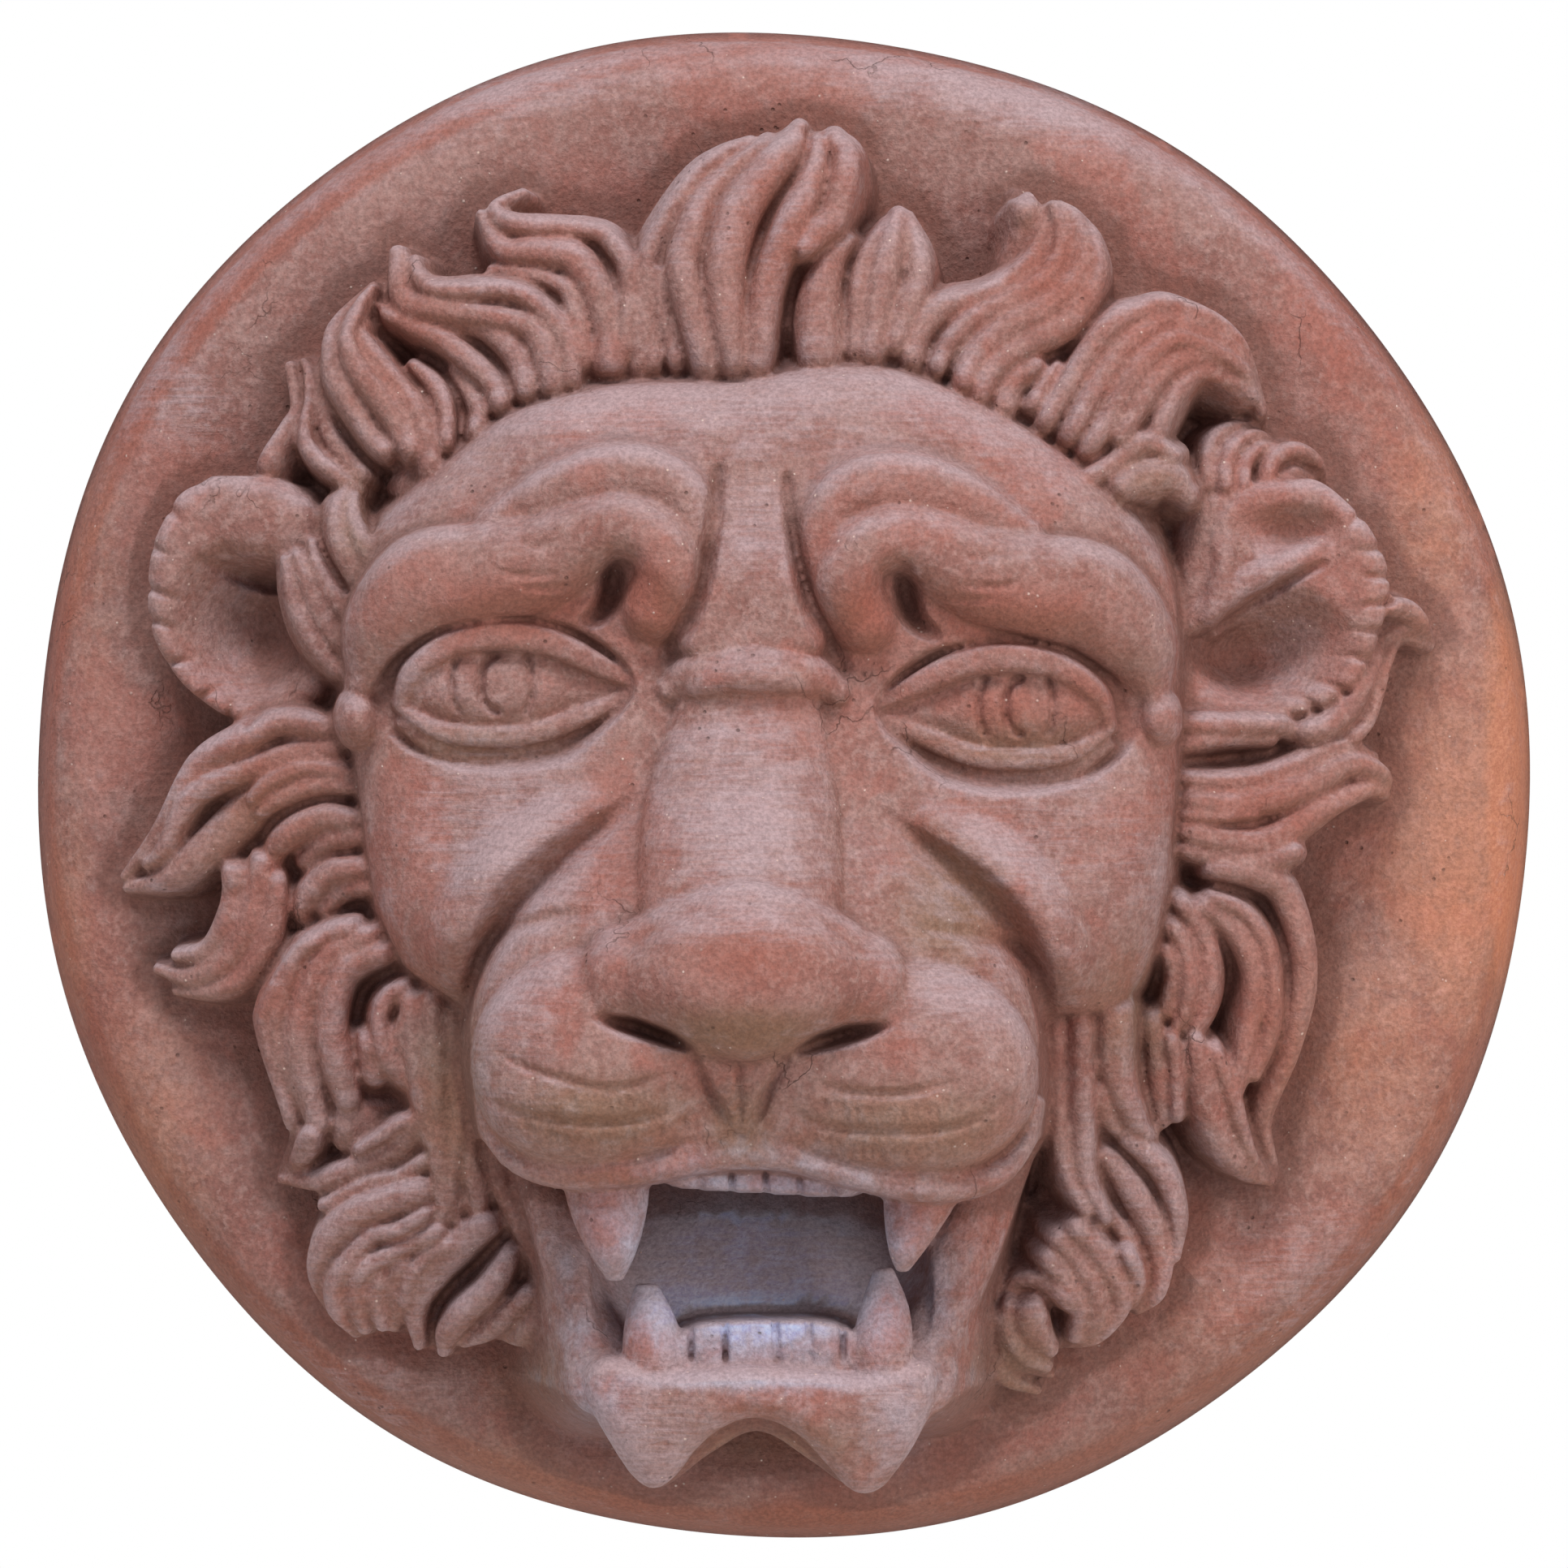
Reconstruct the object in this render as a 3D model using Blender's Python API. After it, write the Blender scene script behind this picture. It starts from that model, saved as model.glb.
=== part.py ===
"""A terracotta roundel with a roaring lion's head in high relief, made in one piece to hang on a wall.

Metres, +Z up. The flat back is the plane Y = 0, its centre is the origin, and the face looks along -Y.
The relief is laid on a drawing sheet as clay would be: rolls, slabs and domes, then hollows and cuts.
"""

import math

import bmesh
import bpy
import numpy as np

# Real sizes.
ROUNDEL_DIAMETER = 0.500
RELIEF_DEPTH = 0.169
RIM_THICKNESS = 0.014
CREST_THICKNESS = 0.033
DISH_THICKNESS = 0.024
CREST_WIDTH = 0.021
DISH_WIDTH = 0.120
# The relief draws in towards a point this far in front of the back.
DRAFT_DISTANCE = 3.0

# The drawing sheet: x to the right, y down, the plate's centre and its size across.
SHEET_CENTRE = (966, 965)
SHEET_ACROSS = 1834
FACE_AXIS = 935
GRID_STEP = 5
CUT_BELOW = 8
LAYER_FLOOR = 8

# Heights on the sheet are over the back, and the tip of the nose is this high.
NOSE_HEIGHT = 169

# Fineness of the finished solid.
VOXEL_SIZE = 0.0021
TRIANGLES = 9300
TOOTH_SIDES = 12
SMOOTH_ANGLE = math.radians(50)

UNIT = ROUNDEL_DIAMETER / SHEET_ACROSS
RISE = RELIEF_DEPTH / NOSE_HEIGHT
# A height of one is this many units across.
SLOPE = RISE / UNIT

# What lies lower than an edge leans in under it: by this share of the drop, down from this height.
MANE_UNDERCUT = (0.35, 58)
CHIN_UNDERCUT = (0.22, 108)
PALATE_UNDERCUT = (0.25, 112)

# The rim was trimmed by hand: waves round the rim, how far each strays, and its phase in degrees.
RIM_WAVES = ((1, 5, 163), (2, 7, 121), (3, 5, -18), (4, 3, 180), (8, 3, -120))

# Down the face: (y, height on its axis) and (y, how far it falls away towards its sides).
FACE_PROFILE = [
    (430, 78), (500, 90), (570, 103), (650, 113), (760, 112), (860, 110), (1000, 116), (1150, 122),
    (1450, 112),
]
FACE_FALL = [(430, 26), (560, 34), (700, 28), (860, 24), (1000, 24), (1150, 32), (1300, 44), (1450, 60)]
MUZZLE_PROFILE = [(940, 108), (1040, 124), (1150, 138), (1250, 145), (1350, 144), (1480, 136)]

FACE_OUTLINE = [
    (560, 560), (640, 505), (770, 474), (900, 470), (1050, 450), (1160, 475), (1290, 545), (1395, 630),
    (1448, 740), (1452, 880), (1442, 1040), (1420, 1170), (1370, 1248), (1290, 1262), (1270, 1400),
    (1180, 1450), (930, 1430), (700, 1440), (590, 1380), (570, 1250), (500, 1190), (462, 1100),
    (440, 960), (420, 820), (440, 690), (500, 610),
]
MUZZLE_OUTLINE = [
    (800, 955), (700, 1045), (622, 1125), (588, 1210), (580, 1300), (600, 1395), (645, 1452),
    (740, 1462), (830, 1446), (915, 1440), (1000, 1446), (1100, 1472), (1190, 1482), (1252, 1450),
    (1280, 1350), (1274, 1240), (1240, 1165), (1170, 1090), (1060, 990), (930, 960),
]
JAW_OUTLINE = [
    (600, 1400), (628, 1480), (668, 1570), (706, 1650), (728, 1746), (774, 1815), (796, 1842),
    (822, 1845), (880, 1802), (937, 1777), (1002, 1816), (1032, 1838), (1064, 1849), (1092, 1828),
    (1142, 1764), (1160, 1690), (1232, 1560), (1272, 1470), (1282, 1400), (930, 1440),
]
CHIN_OUTLINE = [
    (722, 1690), (744, 1672), (780, 1676), (823, 1688), (940, 1681), (1060, 1692), (1108, 1680),
    (1142, 1676), (1156, 1696), (1150, 1730), (1130, 1778), (1108, 1814), (1086, 1840), (1062, 1846),
    (1040, 1834), (1018, 1806), (988, 1772), (955, 1752), (920, 1748), (886, 1762), (856, 1790),
    (832, 1824), (808, 1840), (786, 1832), (762, 1800), (724, 1728),
]
MOUTH_OUTLINE = [
    (800, 1440), (930, 1425), (1095, 1450), (1135, 1520), (1150, 1600), (1132, 1668), (1040, 1680),
    (930, 1672), (830, 1680), (752, 1668), (728, 1600), (735, 1520),
]
LEFT_EAR = [
    (268, 583), (348, 590), (378, 625), (395, 700), (410, 840), (380, 875), (308, 893), (254, 871),
    (210, 830), (181, 768), (183, 679), (214, 612), (245, 592),
]
RIGHT_EAR = [
    (1468, 622), (1500, 600), (1589, 588), (1634, 594), (1692, 652), (1716, 714), (1705, 779),
    (1674, 844), (1607, 881), (1500, 888), (1450, 884), (1440, 800), (1448, 700),
]
PHILTRUM_OUTLINE = [(857, 1296), (970, 1298), (948, 1345), (934, 1388), (912, 1396), (890, 1388),
                    (870, 1345)]
PHILTRUM_CUTS = [
    [(853, 1298, 6, 4), (872, 1340, 8, 6), (892, 1376, 9, 6), (910, 1400, 7, 2)],
    [(972, 1298, 6, 4), (950, 1336, 8, 6), (932, 1374, 9, 6), (914, 1400, 7, 2)],
    [(910, 1315, 7, 2), (911, 1385, 8, 3)],
]
SEPTUM_OUTLINE = [
    (846, 1236), (916, 1228), (988, 1238), (968, 1282), (942, 1302), (916, 1307), (890, 1300), (864, 1280),
]
NOSE_CUTS = [
    [(736, 1254, 9, 2), (776, 1264, 15, 14), (818, 1276, 15, 17), (850, 1290, 9, 6)],
    [(1094, 1264, 9, 2), (1052, 1273, 15, 14), (1014, 1282, 15, 17), (984, 1293, 9, 6)],
]

# How far past its edge a tool draws the side of what it lays, and the spans of a curve from point to point.
SIDE_REACH = 75
SPANS = 8
# How steeply the plate ends at its rim.
RIM_WALL = 5

# Each lock of the mane: how many strands it is combed into, then (x, y, half width, height) from root to tip.
LOCKS = {
    "fill_left": (3, [(610, 530, 30, 72), (580, 465, 30, 68), (530, 420, 28, 62), (480, 385, 20, 52)]),
    "left_curl_a": (3, [(752, 460, 30, 76), (752, 385, 34, 76), (722, 318, 33, 73), (660, 302, 32, 69),
                        (612, 282, 27, 63), (608, 248, 19, 56), (643, 226, 11, 50)]),
    "left_curl_b": (4, [(665, 505, 38, 76), (648, 430, 44, 76), (590, 392, 44, 73), (522, 366, 38, 68),
                        (484, 328, 24, 61), (500, 298, 11, 53)]),
    "left_curl_c": (3, [(525, 615, 28, 74), (495, 545, 34, 74), (450, 482, 34, 71), (432, 420, 28, 66),
                        (440, 365, 22, 61), (462, 335, 12, 54)]),
    "left_wisp_a": (2, [(445, 612, 18, 64), (395, 565, 20, 60), (375, 500, 20, 56), (368, 432, 8, 46)]),
    "left_wisp_b": (1, [(325, 585, 18, 56), (345, 525, 16, 56), (358, 470, 14, 52), (345, 438, 9, 46)]),
    "crown_a": (2, [(815, 462, 26, 80), (806, 370, 26, 82), (822, 290, 26, 80), (868, 225, 22, 73),
                    (935, 178, 10, 62)]),
    "crown_b": (2, [(862, 462, 26, 82), (848, 380, 29, 86), (864, 290, 31, 86), (908, 225, 27, 80),
                    (965, 174, 14, 68)]),
    "crown_c": (1, [(905, 460, 26, 84), (898, 380, 29, 88), (932, 290, 30, 88), (968, 225, 26, 82),
                    (1000, 176, 14, 70)]),
    "crown_d": (2, [(950, 458, 24, 84), (944, 390, 28, 87), (978, 310, 30, 85), (1022, 250, 30, 80),
                    (1034, 195, 22, 70)]),
    "crown_e": (1, [(1012, 452, 28, 82), (1008, 390, 30, 84), (1025, 335, 24, 80), (1050, 300, 8, 72)]),
    "crown_f": (3, [(1072, 450, 26, 80), (1082, 390, 36, 82), (1106, 330, 36, 78), (1110, 285, 22, 68),
                    (1104, 266, 8, 60)]),
    "right_curl_a": (4, [(1150, 475, 36, 80), (1195, 425, 46, 80), (1262, 385, 52, 77), (1312, 330, 52, 72),
                         (1308, 275, 36, 64), (1272, 240, 16, 52)]),
    "right_curl_b": (2, [(1235, 510, 34, 80), (1275, 455, 38, 78), (1320, 400, 34, 72)]),
    "right_arch_a": (3, [(1305, 540, 34, 80), (1348, 462, 40, 79), (1408, 408, 40, 75), (1480, 408, 34, 68),
                         (1536, 448, 28, 60), (1566, 505, 12, 50)]),
    "right_arch_b": (2, [(1350, 575, 28, 80), (1395, 505, 34, 76), (1450, 455, 30, 70), (1500, 455, 24, 62),
                         (1545, 492, 12, 54)]),
    "right_lump": (2, [(1325, 590, 20, 82), (1385, 568, 36, 82), (1435, 575, 40, 78), (1462, 608, 24, 70)]),
    "ear_tuft_a": (2, [(1500, 602, 20, 60), (1503, 556, 26, 60), (1538, 532, 20, 54), (1585, 536, 10, 46)]),
    "ear_tuft_b": (2, [(1555, 602, 22, 54), (1580, 572, 24, 53), (1620, 566, 20, 49), (1645, 588, 13, 42)]),
    "behind_ear": (3, [(1600, 912, 22, 58), (1668, 880, 32, 58), (1712, 825, 27, 54), (1732, 776, 26, 50),
                       (1778, 788, 9, 42)]),
    "right_stub": (2, [(1455, 920, 36, 70), (1530, 912, 32, 66), (1598, 908, 18, 56)]),
    "right_flame": (3, [(1450, 1005, 40, 70), (1540, 1010, 46, 68), (1622, 985, 50, 62),
                        (1690, 955, 34, 54), (1722, 980, 11, 46)]),
    "right_fall_a": (3, [(1480, 1060, 30, 70), (1552, 1110, 42, 69), (1590, 1190, 40, 65),
                         (1590, 1280, 38, 60), (1572, 1370, 32, 54), (1582, 1462, 11, 42)]),
    "right_fall_b": (3, [(1450, 1080, 30, 72), (1510, 1150, 38, 71), (1535, 1240, 40, 67),
                         (1512, 1330, 38, 62), (1522, 1400, 28, 54), (1562, 1460, 11, 44)]),
    "right_fall_c": (2, [(1430, 1120, 26, 74), (1465, 1185, 30, 74), (1468, 1260, 32, 70),
                         (1438, 1330, 36, 63), (1450, 1392, 14, 52)]),
    "left_flame_a": (3, [(445, 885, 26, 72), (350, 905, 42, 70), (272, 952, 46, 66), (222, 1015, 44, 60),
                         (185, 1075, 26, 52), (136, 1094, 9, 46)]),
    "left_flame_b": (2, [(430, 955, 22, 70), (370, 975, 26, 68), (318, 1015, 30, 63), (268, 1062, 28, 57),
                         (205, 1100, 14, 50)]),
    "left_flame_c": (3, [(365, 1030, 24, 66), (325, 1085, 38, 63), (292, 1150, 42, 59), (232, 1196, 36, 53),
                         (180, 1206, 13, 44)]),
    "left_ripple_a": (2, [(460, 960, 20, 74), (402, 978, 22, 71), (356, 1015, 20, 66),
                          (345, 1058, 14, 60)]),
    "left_ripple_b": (2, [(462, 1015, 20, 74), (412, 1035, 22, 71), (378, 1072, 20, 66),
                          (372, 1120, 14, 60)]),
    "left_ripple_c": (2, [(470, 1075, 20, 74), (425, 1095, 22, 71), (392, 1135, 20, 66)]),
    "left_bow_a": (4, [(485, 1130, 28, 76), (402, 1180, 38, 75), (362, 1260, 42, 71), (372, 1345, 38, 66),
                       (385, 1402, 26, 59), (338, 1452, 9, 46)]),
    "left_bow_b": (2, [(500, 1180, 24, 78), (438, 1230, 30, 77), (420, 1300, 32, 73), (440, 1375, 28, 68),
                       (400, 1440, 20, 58)]),
    "left_bow_c": (1, [(512, 1232, 16, 80), (482, 1270, 18, 79), (484, 1325, 16, 75), (506, 1350, 10, 73)]),
    "left_chin_a": (2, [(530, 1395, 24, 74), (455, 1440, 30, 68), (395, 1468, 26, 60),
                        (345, 1468, 12, 50)]),
    "left_chin_b": (2, [(545, 1465, 30, 75), (455, 1500, 36, 70), (402, 1550, 34, 64), (398, 1610, 24, 57),
                        (416, 1645, 12, 50)]),
    "left_chin_c": (3, [(545, 1525, 26, 70), (475, 1570, 32, 65), (452, 1620, 28, 59),
                        (442, 1652, 14, 52)]),
    "left_chin_d": (2, [(625, 1505, 32, 73), (572, 1558, 36, 69), (530, 1612, 30, 62),
                        (514, 1664, 12, 52)]),
    "left_chin_e": (1, [(650, 1560, 26, 66), (600, 1612, 28, 60), (545, 1668, 16, 50)]),
    "left_chin_f": (1, [(700, 1640, 34, 60), (640, 1640, 28, 55), (590, 1650, 14, 46)]),
    "left_chin_g": (1, [(735, 1715, 26, 50), (690, 1705, 22, 46), (662, 1690, 10, 42)]),
    "left_beard_a": (3, [(530, 1225, 44, 86), (532, 1320, 40, 84), (545, 1420, 34, 80),
                         (560, 1498, 15, 72)]),
    "left_beard_b": (2, [(590, 1280, 26, 84), (600, 1390, 28, 82), (630, 1480, 26, 76),
                         (690, 1580, 26, 72)]),
    "right_beard_a": (2, [(1322, 1250, 38, 86), (1320, 1340, 33, 84), (1320, 1430, 31, 80),
                          (1346, 1500, 13, 72)]),
    "right_beard_b": (2, [(1372, 1240, 34, 86), (1375, 1310, 34, 82), (1392, 1365, 30, 78),
                          (1416, 1400, 12, 71)]),
    "right_chin_a": (2, [(1372, 1400, 24, 68), (1414, 1460, 36, 68), (1432, 1530, 32, 64),
                         (1422, 1600, 20, 56), (1405, 1630, 8, 50)]),
    "right_chin_b": (2, [(1318, 1505, 30, 70), (1352, 1572, 36, 68), (1342, 1632, 28, 60),
                         (1315, 1668, 12, 52)]),
    "right_spiral": (2, [(1238, 1668, 24, 56), (1232, 1610, 22, 60), (1270, 1580, 20, 62),
                         (1305, 1606, 18, 60), (1290, 1632, 12, 58)]),
    "right_chin_c": (2, [(1200, 1620, 28, 62), (1208, 1680, 34, 60), (1262, 1724, 24, 50)]),
    "right_chin_d": (2, [(1170, 1690, 30, 56), (1180, 1740, 22, 48), (1215, 1755, 10, 42)]),
}

# The four long teeth, which hang free of the mouth: (x, y, radius across, height of the middle).
LONG_TEETH = {
    "upper_left": [(745, 1420, 52, 108), (748, 1470, 50, 113), (751, 1510, 41, 117),
                   (755, 1548, 26, 119), (758, 1578, 9, 118)],
    "upper_right": [(1140, 1430, 48, 108), (1134, 1478, 44, 113), (1124, 1516, 32, 117),
                    (1116, 1546, 19, 119), (1112, 1567, 7, 118)],
    "lower_left": [(812, 1710, 40, 104), (806, 1665, 38, 106), (801, 1620, 29, 105), (797, 1582, 13, 103)],
    "lower_right": [(1084, 1710, 38, 104), (1087, 1660, 37, 106), (1090, 1610, 29, 105),
                    (1089, 1562, 11, 103)],
}


def smooth_curve(points, spans, closed=False):
    """Points on the smooth curve through these ones. Every column is carried along."""
    p = np.array(points, float)
    if closed:
        p = np.vstack([p[-1], p, p[0], p[1]])
    else:
        p = np.vstack([2 * p[0] - p[1], p, 2 * p[-1] - p[-2]])
    t = (np.arange(spans) / spans)[:, None]
    rows = []
    for a, b, c, d in zip(p, p[1:], p[2:], p[3:]):
        cubic = (3 * b - a - 3 * c + d) * t**3
        rows.append(0.5 * (2 * b + (c - a) * t + (2 * a - 5 * b + 4 * c - d) * t**2 + cubic))
    if not closed:
        rows.append(p[-2][None])
    return np.vstack(rows)


def soft_max(a, b, blend):
    """The higher of two surfaces, with a fillet of this width where they meet."""
    near = np.maximum(blend - np.abs(a - b), 0) / blend
    return np.maximum(a, b) + near * near * blend / 4


def ease(share):
    share = np.clip(share, 0, 1)
    return share * share * (3 - 2 * share)


def dome(share, power=2.0):
    """A rounded profile, one at the middle and nought at the edge."""
    return (1 - np.clip(share, 0, 1) ** power) ** (1 / power)


def read_profile(table, value):
    curve = smooth_curve(table, 12)
    return np.interp(value, curve[:, 0], curve[:, 1])


def mirrored(points):
    return [(2 * FACE_AXIS - p[0], *p[1:]) for p in points]


def both_sides(points, drop, shift=0):
    """A stroke on the left of the face, and on the right, where it sits a little lower."""
    return [points, [(x + shift, y + drop, *rest) for x, y, *rest in mirrored(points)]]


class Sheet:
    """Heights over the back on a square grid, which each tool raises or cuts."""

    def __init__(self, step):
        count = int(math.ceil((SHEET_ACROSS + 120) / step)) + 1
        first = SHEET_CENTRE[0] - (count - 1) * step / 2
        top = SHEET_CENTRE[1] - (count - 1) * step / 2
        across = np.arange(count) * step
        self.step = step
        self.first = (first, top)
        self.x, self.y = np.meshgrid(first + across, top + across)
        self.height = np.full_like(self.x, -SHEET_ACROSS)

    def window(self, low, high):
        x0, y0 = (max(0, int((v - f) // self.step)) for v, f in zip(low, self.first))
        x1, y1 = (max(0, int((v - f) // self.step) + 2) for v, f in zip(high, self.first))
        return slice(y0, y1), slice(x0, x1)

    def trace(self, points, margin, closed=False):
        """For the cells near a curve: their distance, the side they lie on, and its other columns there."""
        curve = smooth_curve(points, SPANS, closed)
        if closed:
            curve = np.vstack([curve, curve[:1]])
        window = self.window(curve[:, :2].min(0) - margin, curve[:, :2].max(0) + margin)
        x, y = self.x[window], self.y[window]
        nearest = np.full(x.shape, np.inf)
        side = np.zeros_like(x)
        columns = np.zeros((curve.shape[1] - 2, *x.shape))
        for (ax, ay, *start), (bx, by, *end) in zip(curve, curve[1:]):
            dx, dy = bx - ax, by - ay
            length = dx * dx + dy * dy
            t = np.clip(((x - ax) * dx + (y - ay) * dy) / length, 0, 1)
            px, py = x - ax - t * dx, y - ay - t * dy
            square = px * px + py * py
            closer = square < nearest
            nearest = np.where(closer, square, nearest)
            side = np.where(closer, (dx * py - dy * px) / math.sqrt(length), side)
            for column, a, b in zip(columns, start, end):
                np.copyto(column, a + t * (b - a), where=closer)
        return window, np.sqrt(nearest), side, columns

    def inside(self, window, loop):
        x, y = self.x[window], self.y[window]
        odd = np.zeros(x.shape, bool)
        for (ax, ay), (bx, by) in zip(loop, np.roll(loop, -1, axis=0)):
            if ay != by:
                odd ^= ((ay > y) != (by > y)) & (x < (bx - ax) * (y - ay) / (by - ay) + ax)
        return odd

    def raise_to(self, window, surface, blend):
        self.height[window] = soft_max(self.height[window], surface, blend)

    def roll(self, points, crown, blend=2, power=2.0, wall=3.2):
        """A roll of clay along (x, y, half width, height)."""
        window, distance, _, (half, top) = self.trace(points, max(p[2] for p in points) + SIDE_REACH)
        half = np.maximum(half, 1)
        surface = top - crown * (1 - dome(distance / half, power))
        surface -= wall * np.maximum(distance - half, 0) / SLOPE
        self.raise_to(window, surface, blend)

    def lock(self, points, strands, groove=3.6, crown=7, wall=6):
        """A tapering lock of hair along (x, y, half width, height), combed into strands."""
        widest = max(p[2] for p in points)
        window, distance, side, (half, top) = self.trace(points, widest + SIDE_REACH)
        half = np.maximum(half, 1)
        across = (np.clip(side / half, -1, 1) + 1) / 2 * strands
        across -= np.floor(np.minimum(across, strands - 0.001))
        valley = 1 - np.sqrt(np.maximum(1 - (2 * across - 1) ** 2, 0))
        surface = top - crown * np.clip(1.2 * half / widest, 0.3, 1) * (1 - dome(distance / half, 2.2))
        surface -= groove * np.clip(1.3 * half / widest, 0.25, 1) * valley
        surface -= wall * np.maximum(distance - half, 0) / SLOPE
        self.raise_to(window, surface, 1.5)

    def add(self, points):
        """Clay added, or cut away where it is negative, along (x, y, half width, added height)."""
        window, distance, _, (half, lift) = self.trace(points, max(p[2] for p in points) + 8)
        share = np.clip(distance / np.maximum(half, 1), 0, 1)
        self.height[window] += lift * (1 - share**2) ** 1.5

    def cut(self, points):
        self.add([(x, y, half, -depth) for x, y, half, depth in points])

    def oval(self, centre, radii, foot, top, blend, power=2.0):
        """A dome of clay standing on its own oval foot."""
        window = self.window(np.subtract(centre, radii), np.add(centre, radii))
        share = np.hypot((self.x[window] - centre[0]) / radii[0], (self.y[window] - centre[1]) / radii[1])
        surface = np.where(share < 1, foot + (top - foot) * dome(share, power), -np.inf)
        self.raise_to(window, surface, blend)

    def hollow(self, centre, radii, depth):
        window = self.window(np.subtract(centre, radii), np.add(centre, radii))
        share = np.hypot((self.x[window] - centre[0]) / radii[0], (self.y[window] - centre[1]) / radii[1])
        self.height[window] -= depth * (1 - np.clip(share, 0, 1) ** 2) ** 2

    def slab(self, outline, top, edge, crown, blend=2, wall=3.2):
        """A block of clay with this outline, rounded over the width edge. top is a height or a surface."""
        window, distance, _, _ = self.trace(outline, SIDE_REACH, closed=True)
        within = self.inside(window, smooth_curve(outline, SPANS, closed=True))
        level = top(self.x[window], self.y[window]) if callable(top) else top
        rounded = level - crown * (1 - dome(1 - distance / edge))
        self.raise_to(window, np.where(within, rounded, level - crown - wall * distance / SLOPE), blend)

    def pit(self, outline, floor, wall, blend):
        """A hollow with this outline, cut down to the floor, which is a height or a surface."""
        window, distance, _, _ = self.trace(outline, SIDE_REACH, closed=True)
        within = self.inside(window, smooth_curve(outline, SPANS, closed=True))
        before = self.height[window]
        level = floor(self.x[window], self.y[window]) if callable(floor) else floor + 0 * before
        after = soft_max(before - wall * distance / SLOPE, level, blend)
        self.height[window] = np.where(within, np.minimum(before, after), before)


def rim_radius(angle):
    radius = SHEET_ACROSS / 2
    for waves, size, phase in RIM_WAVES:
        radius = radius + size * np.cos(waves * angle + math.radians(phase))
    return radius


def turn_plate(sheet):
    """A shallow dish with a raised band round it, its outer edge rolled back to the rim."""
    x, y = sheet.x - SHEET_CENTRE[0], SHEET_CENTRE[1] - sheet.y
    from_rim = (rim_radius(np.arctan2(y, x)) - np.hypot(x, y)) * UNIT
    rise = np.sqrt(1 - (1 - np.clip(from_rim / CREST_WIDTH, 0, 1)) ** 2)
    dish = ease((from_rim - CREST_WIDTH) / DISH_WIDTH)
    plate = RIM_THICKNESS + (CREST_THICKNESS - RIM_THICKNESS) * rise
    plate -= (CREST_THICKNESS - DISH_THICKNESS) * dish
    sheet.height = np.where(from_rim > 0, plate, RIM_THICKNESS + RIM_WALL * from_rim) / RISE


def comb_mane(sheet):
    sheet.oval((925, 950), (600, 640), 14, 58, 14, 2.6)
    for strands, points in LOCKS.values():
        sheet.lock(points, strands)


def build_ears(sheet):
    sheet.slab(LEFT_EAR, 62, 26, 9, wall=8)
    sheet.hollow((300, 775), (108, 128), 24)
    sheet.roll([(252, 625, 30, 60), (300, 640, 44, 65), (352, 650, 44, 67)], 8, 5)
    sheet.cut([(250, 692, 10, 2), (290, 706, 16, 7), (345, 716, 16, 8), (380, 722, 10, 3)])
    sheet.slab(RIGHT_EAR, 62, 26, 9, wall=8)
    sheet.hollow((1560, 800), (128, 92), 24)
    sheet.hollow((1595, 655), (80, 40), 8)
    sheet.roll([(1455, 775, 18, 64), (1509, 738, 20, 66), (1560, 706, 18, 66), (1632, 672, 12, 60)], 5, 4)
    sheet.cut([(1455, 797, 8, 3), (1509, 766, 12, 7), (1560, 730, 12, 7), (1632, 694, 8, 2)])
    sheet.lock([(450, 830, 12, 78), (395, 800, 26, 76), (368, 740, 26, 74), (362, 695, 12, 70)], 3)
    sheet.lock([(470, 730, 16, 84), (430, 690, 26, 82), (410, 640, 24, 76), (425, 605, 14, 68)], 2)


def build_face(sheet):
    def surface(x, y):
        share = np.abs(x - FACE_AXIS - 5) / 515
        return read_profile(FACE_PROFILE, y) - read_profile(FACE_FALL, y) * share**2.4

    sheet.slab(FACE_OUTLINE, surface, 70, 16, 6, 4)


def build_brows(sheet):
    """A heavy roll over each eye. Its inner end folds up and over a hole, and hangs as a lobe."""
    brow = [(750, 726, 26, 109), (704, 708, 54, 117), (630, 708, 74, 119), (550, 728, 76, 116),
            (484, 774, 62, 108), (450, 838, 26, 98)]
    outer_fold = [(600, 650, 20, 108), (680, 602, 28, 113), (750, 580, 32, 117), (806, 588, 32, 119),
                  (842, 626, 28, 119), (856, 684, 24, 117), (848, 740, 20, 113)]
    inner_fold = [(640, 700, 30, 110), (682, 664, 38, 117), (742, 648, 42, 122), (796, 664, 48, 125),
                  (818, 706, 48, 125), (810, 742, 42, 122), (794, 764, 30, 117)]
    hole = [(766, 684, 14, 3), (763, 706, 20, 12), (758, 730, 22, 16), (748, 756, 22, 13),
            (732, 780, 16, 4)]
    for points in both_sides([(640, 676, 50, 108), (715, 640, 50, 114), (790, 640, 40, 116)], 12):
        sheet.roll(points, 6, 16, wall=2)
    for points in both_sides(outer_fold, 10):
        sheet.roll(points, 6, 12, wall=3)
    for points in both_sides(brow, 14):
        sheet.roll(points, 15, 22, wall=9)
    for points in both_sides(inner_fold, 14, 2):
        sheet.roll(points, 12, 5, wall=7)
    for points in both_sides(hole, 14, 2):
        sheet.cut(points)


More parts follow.
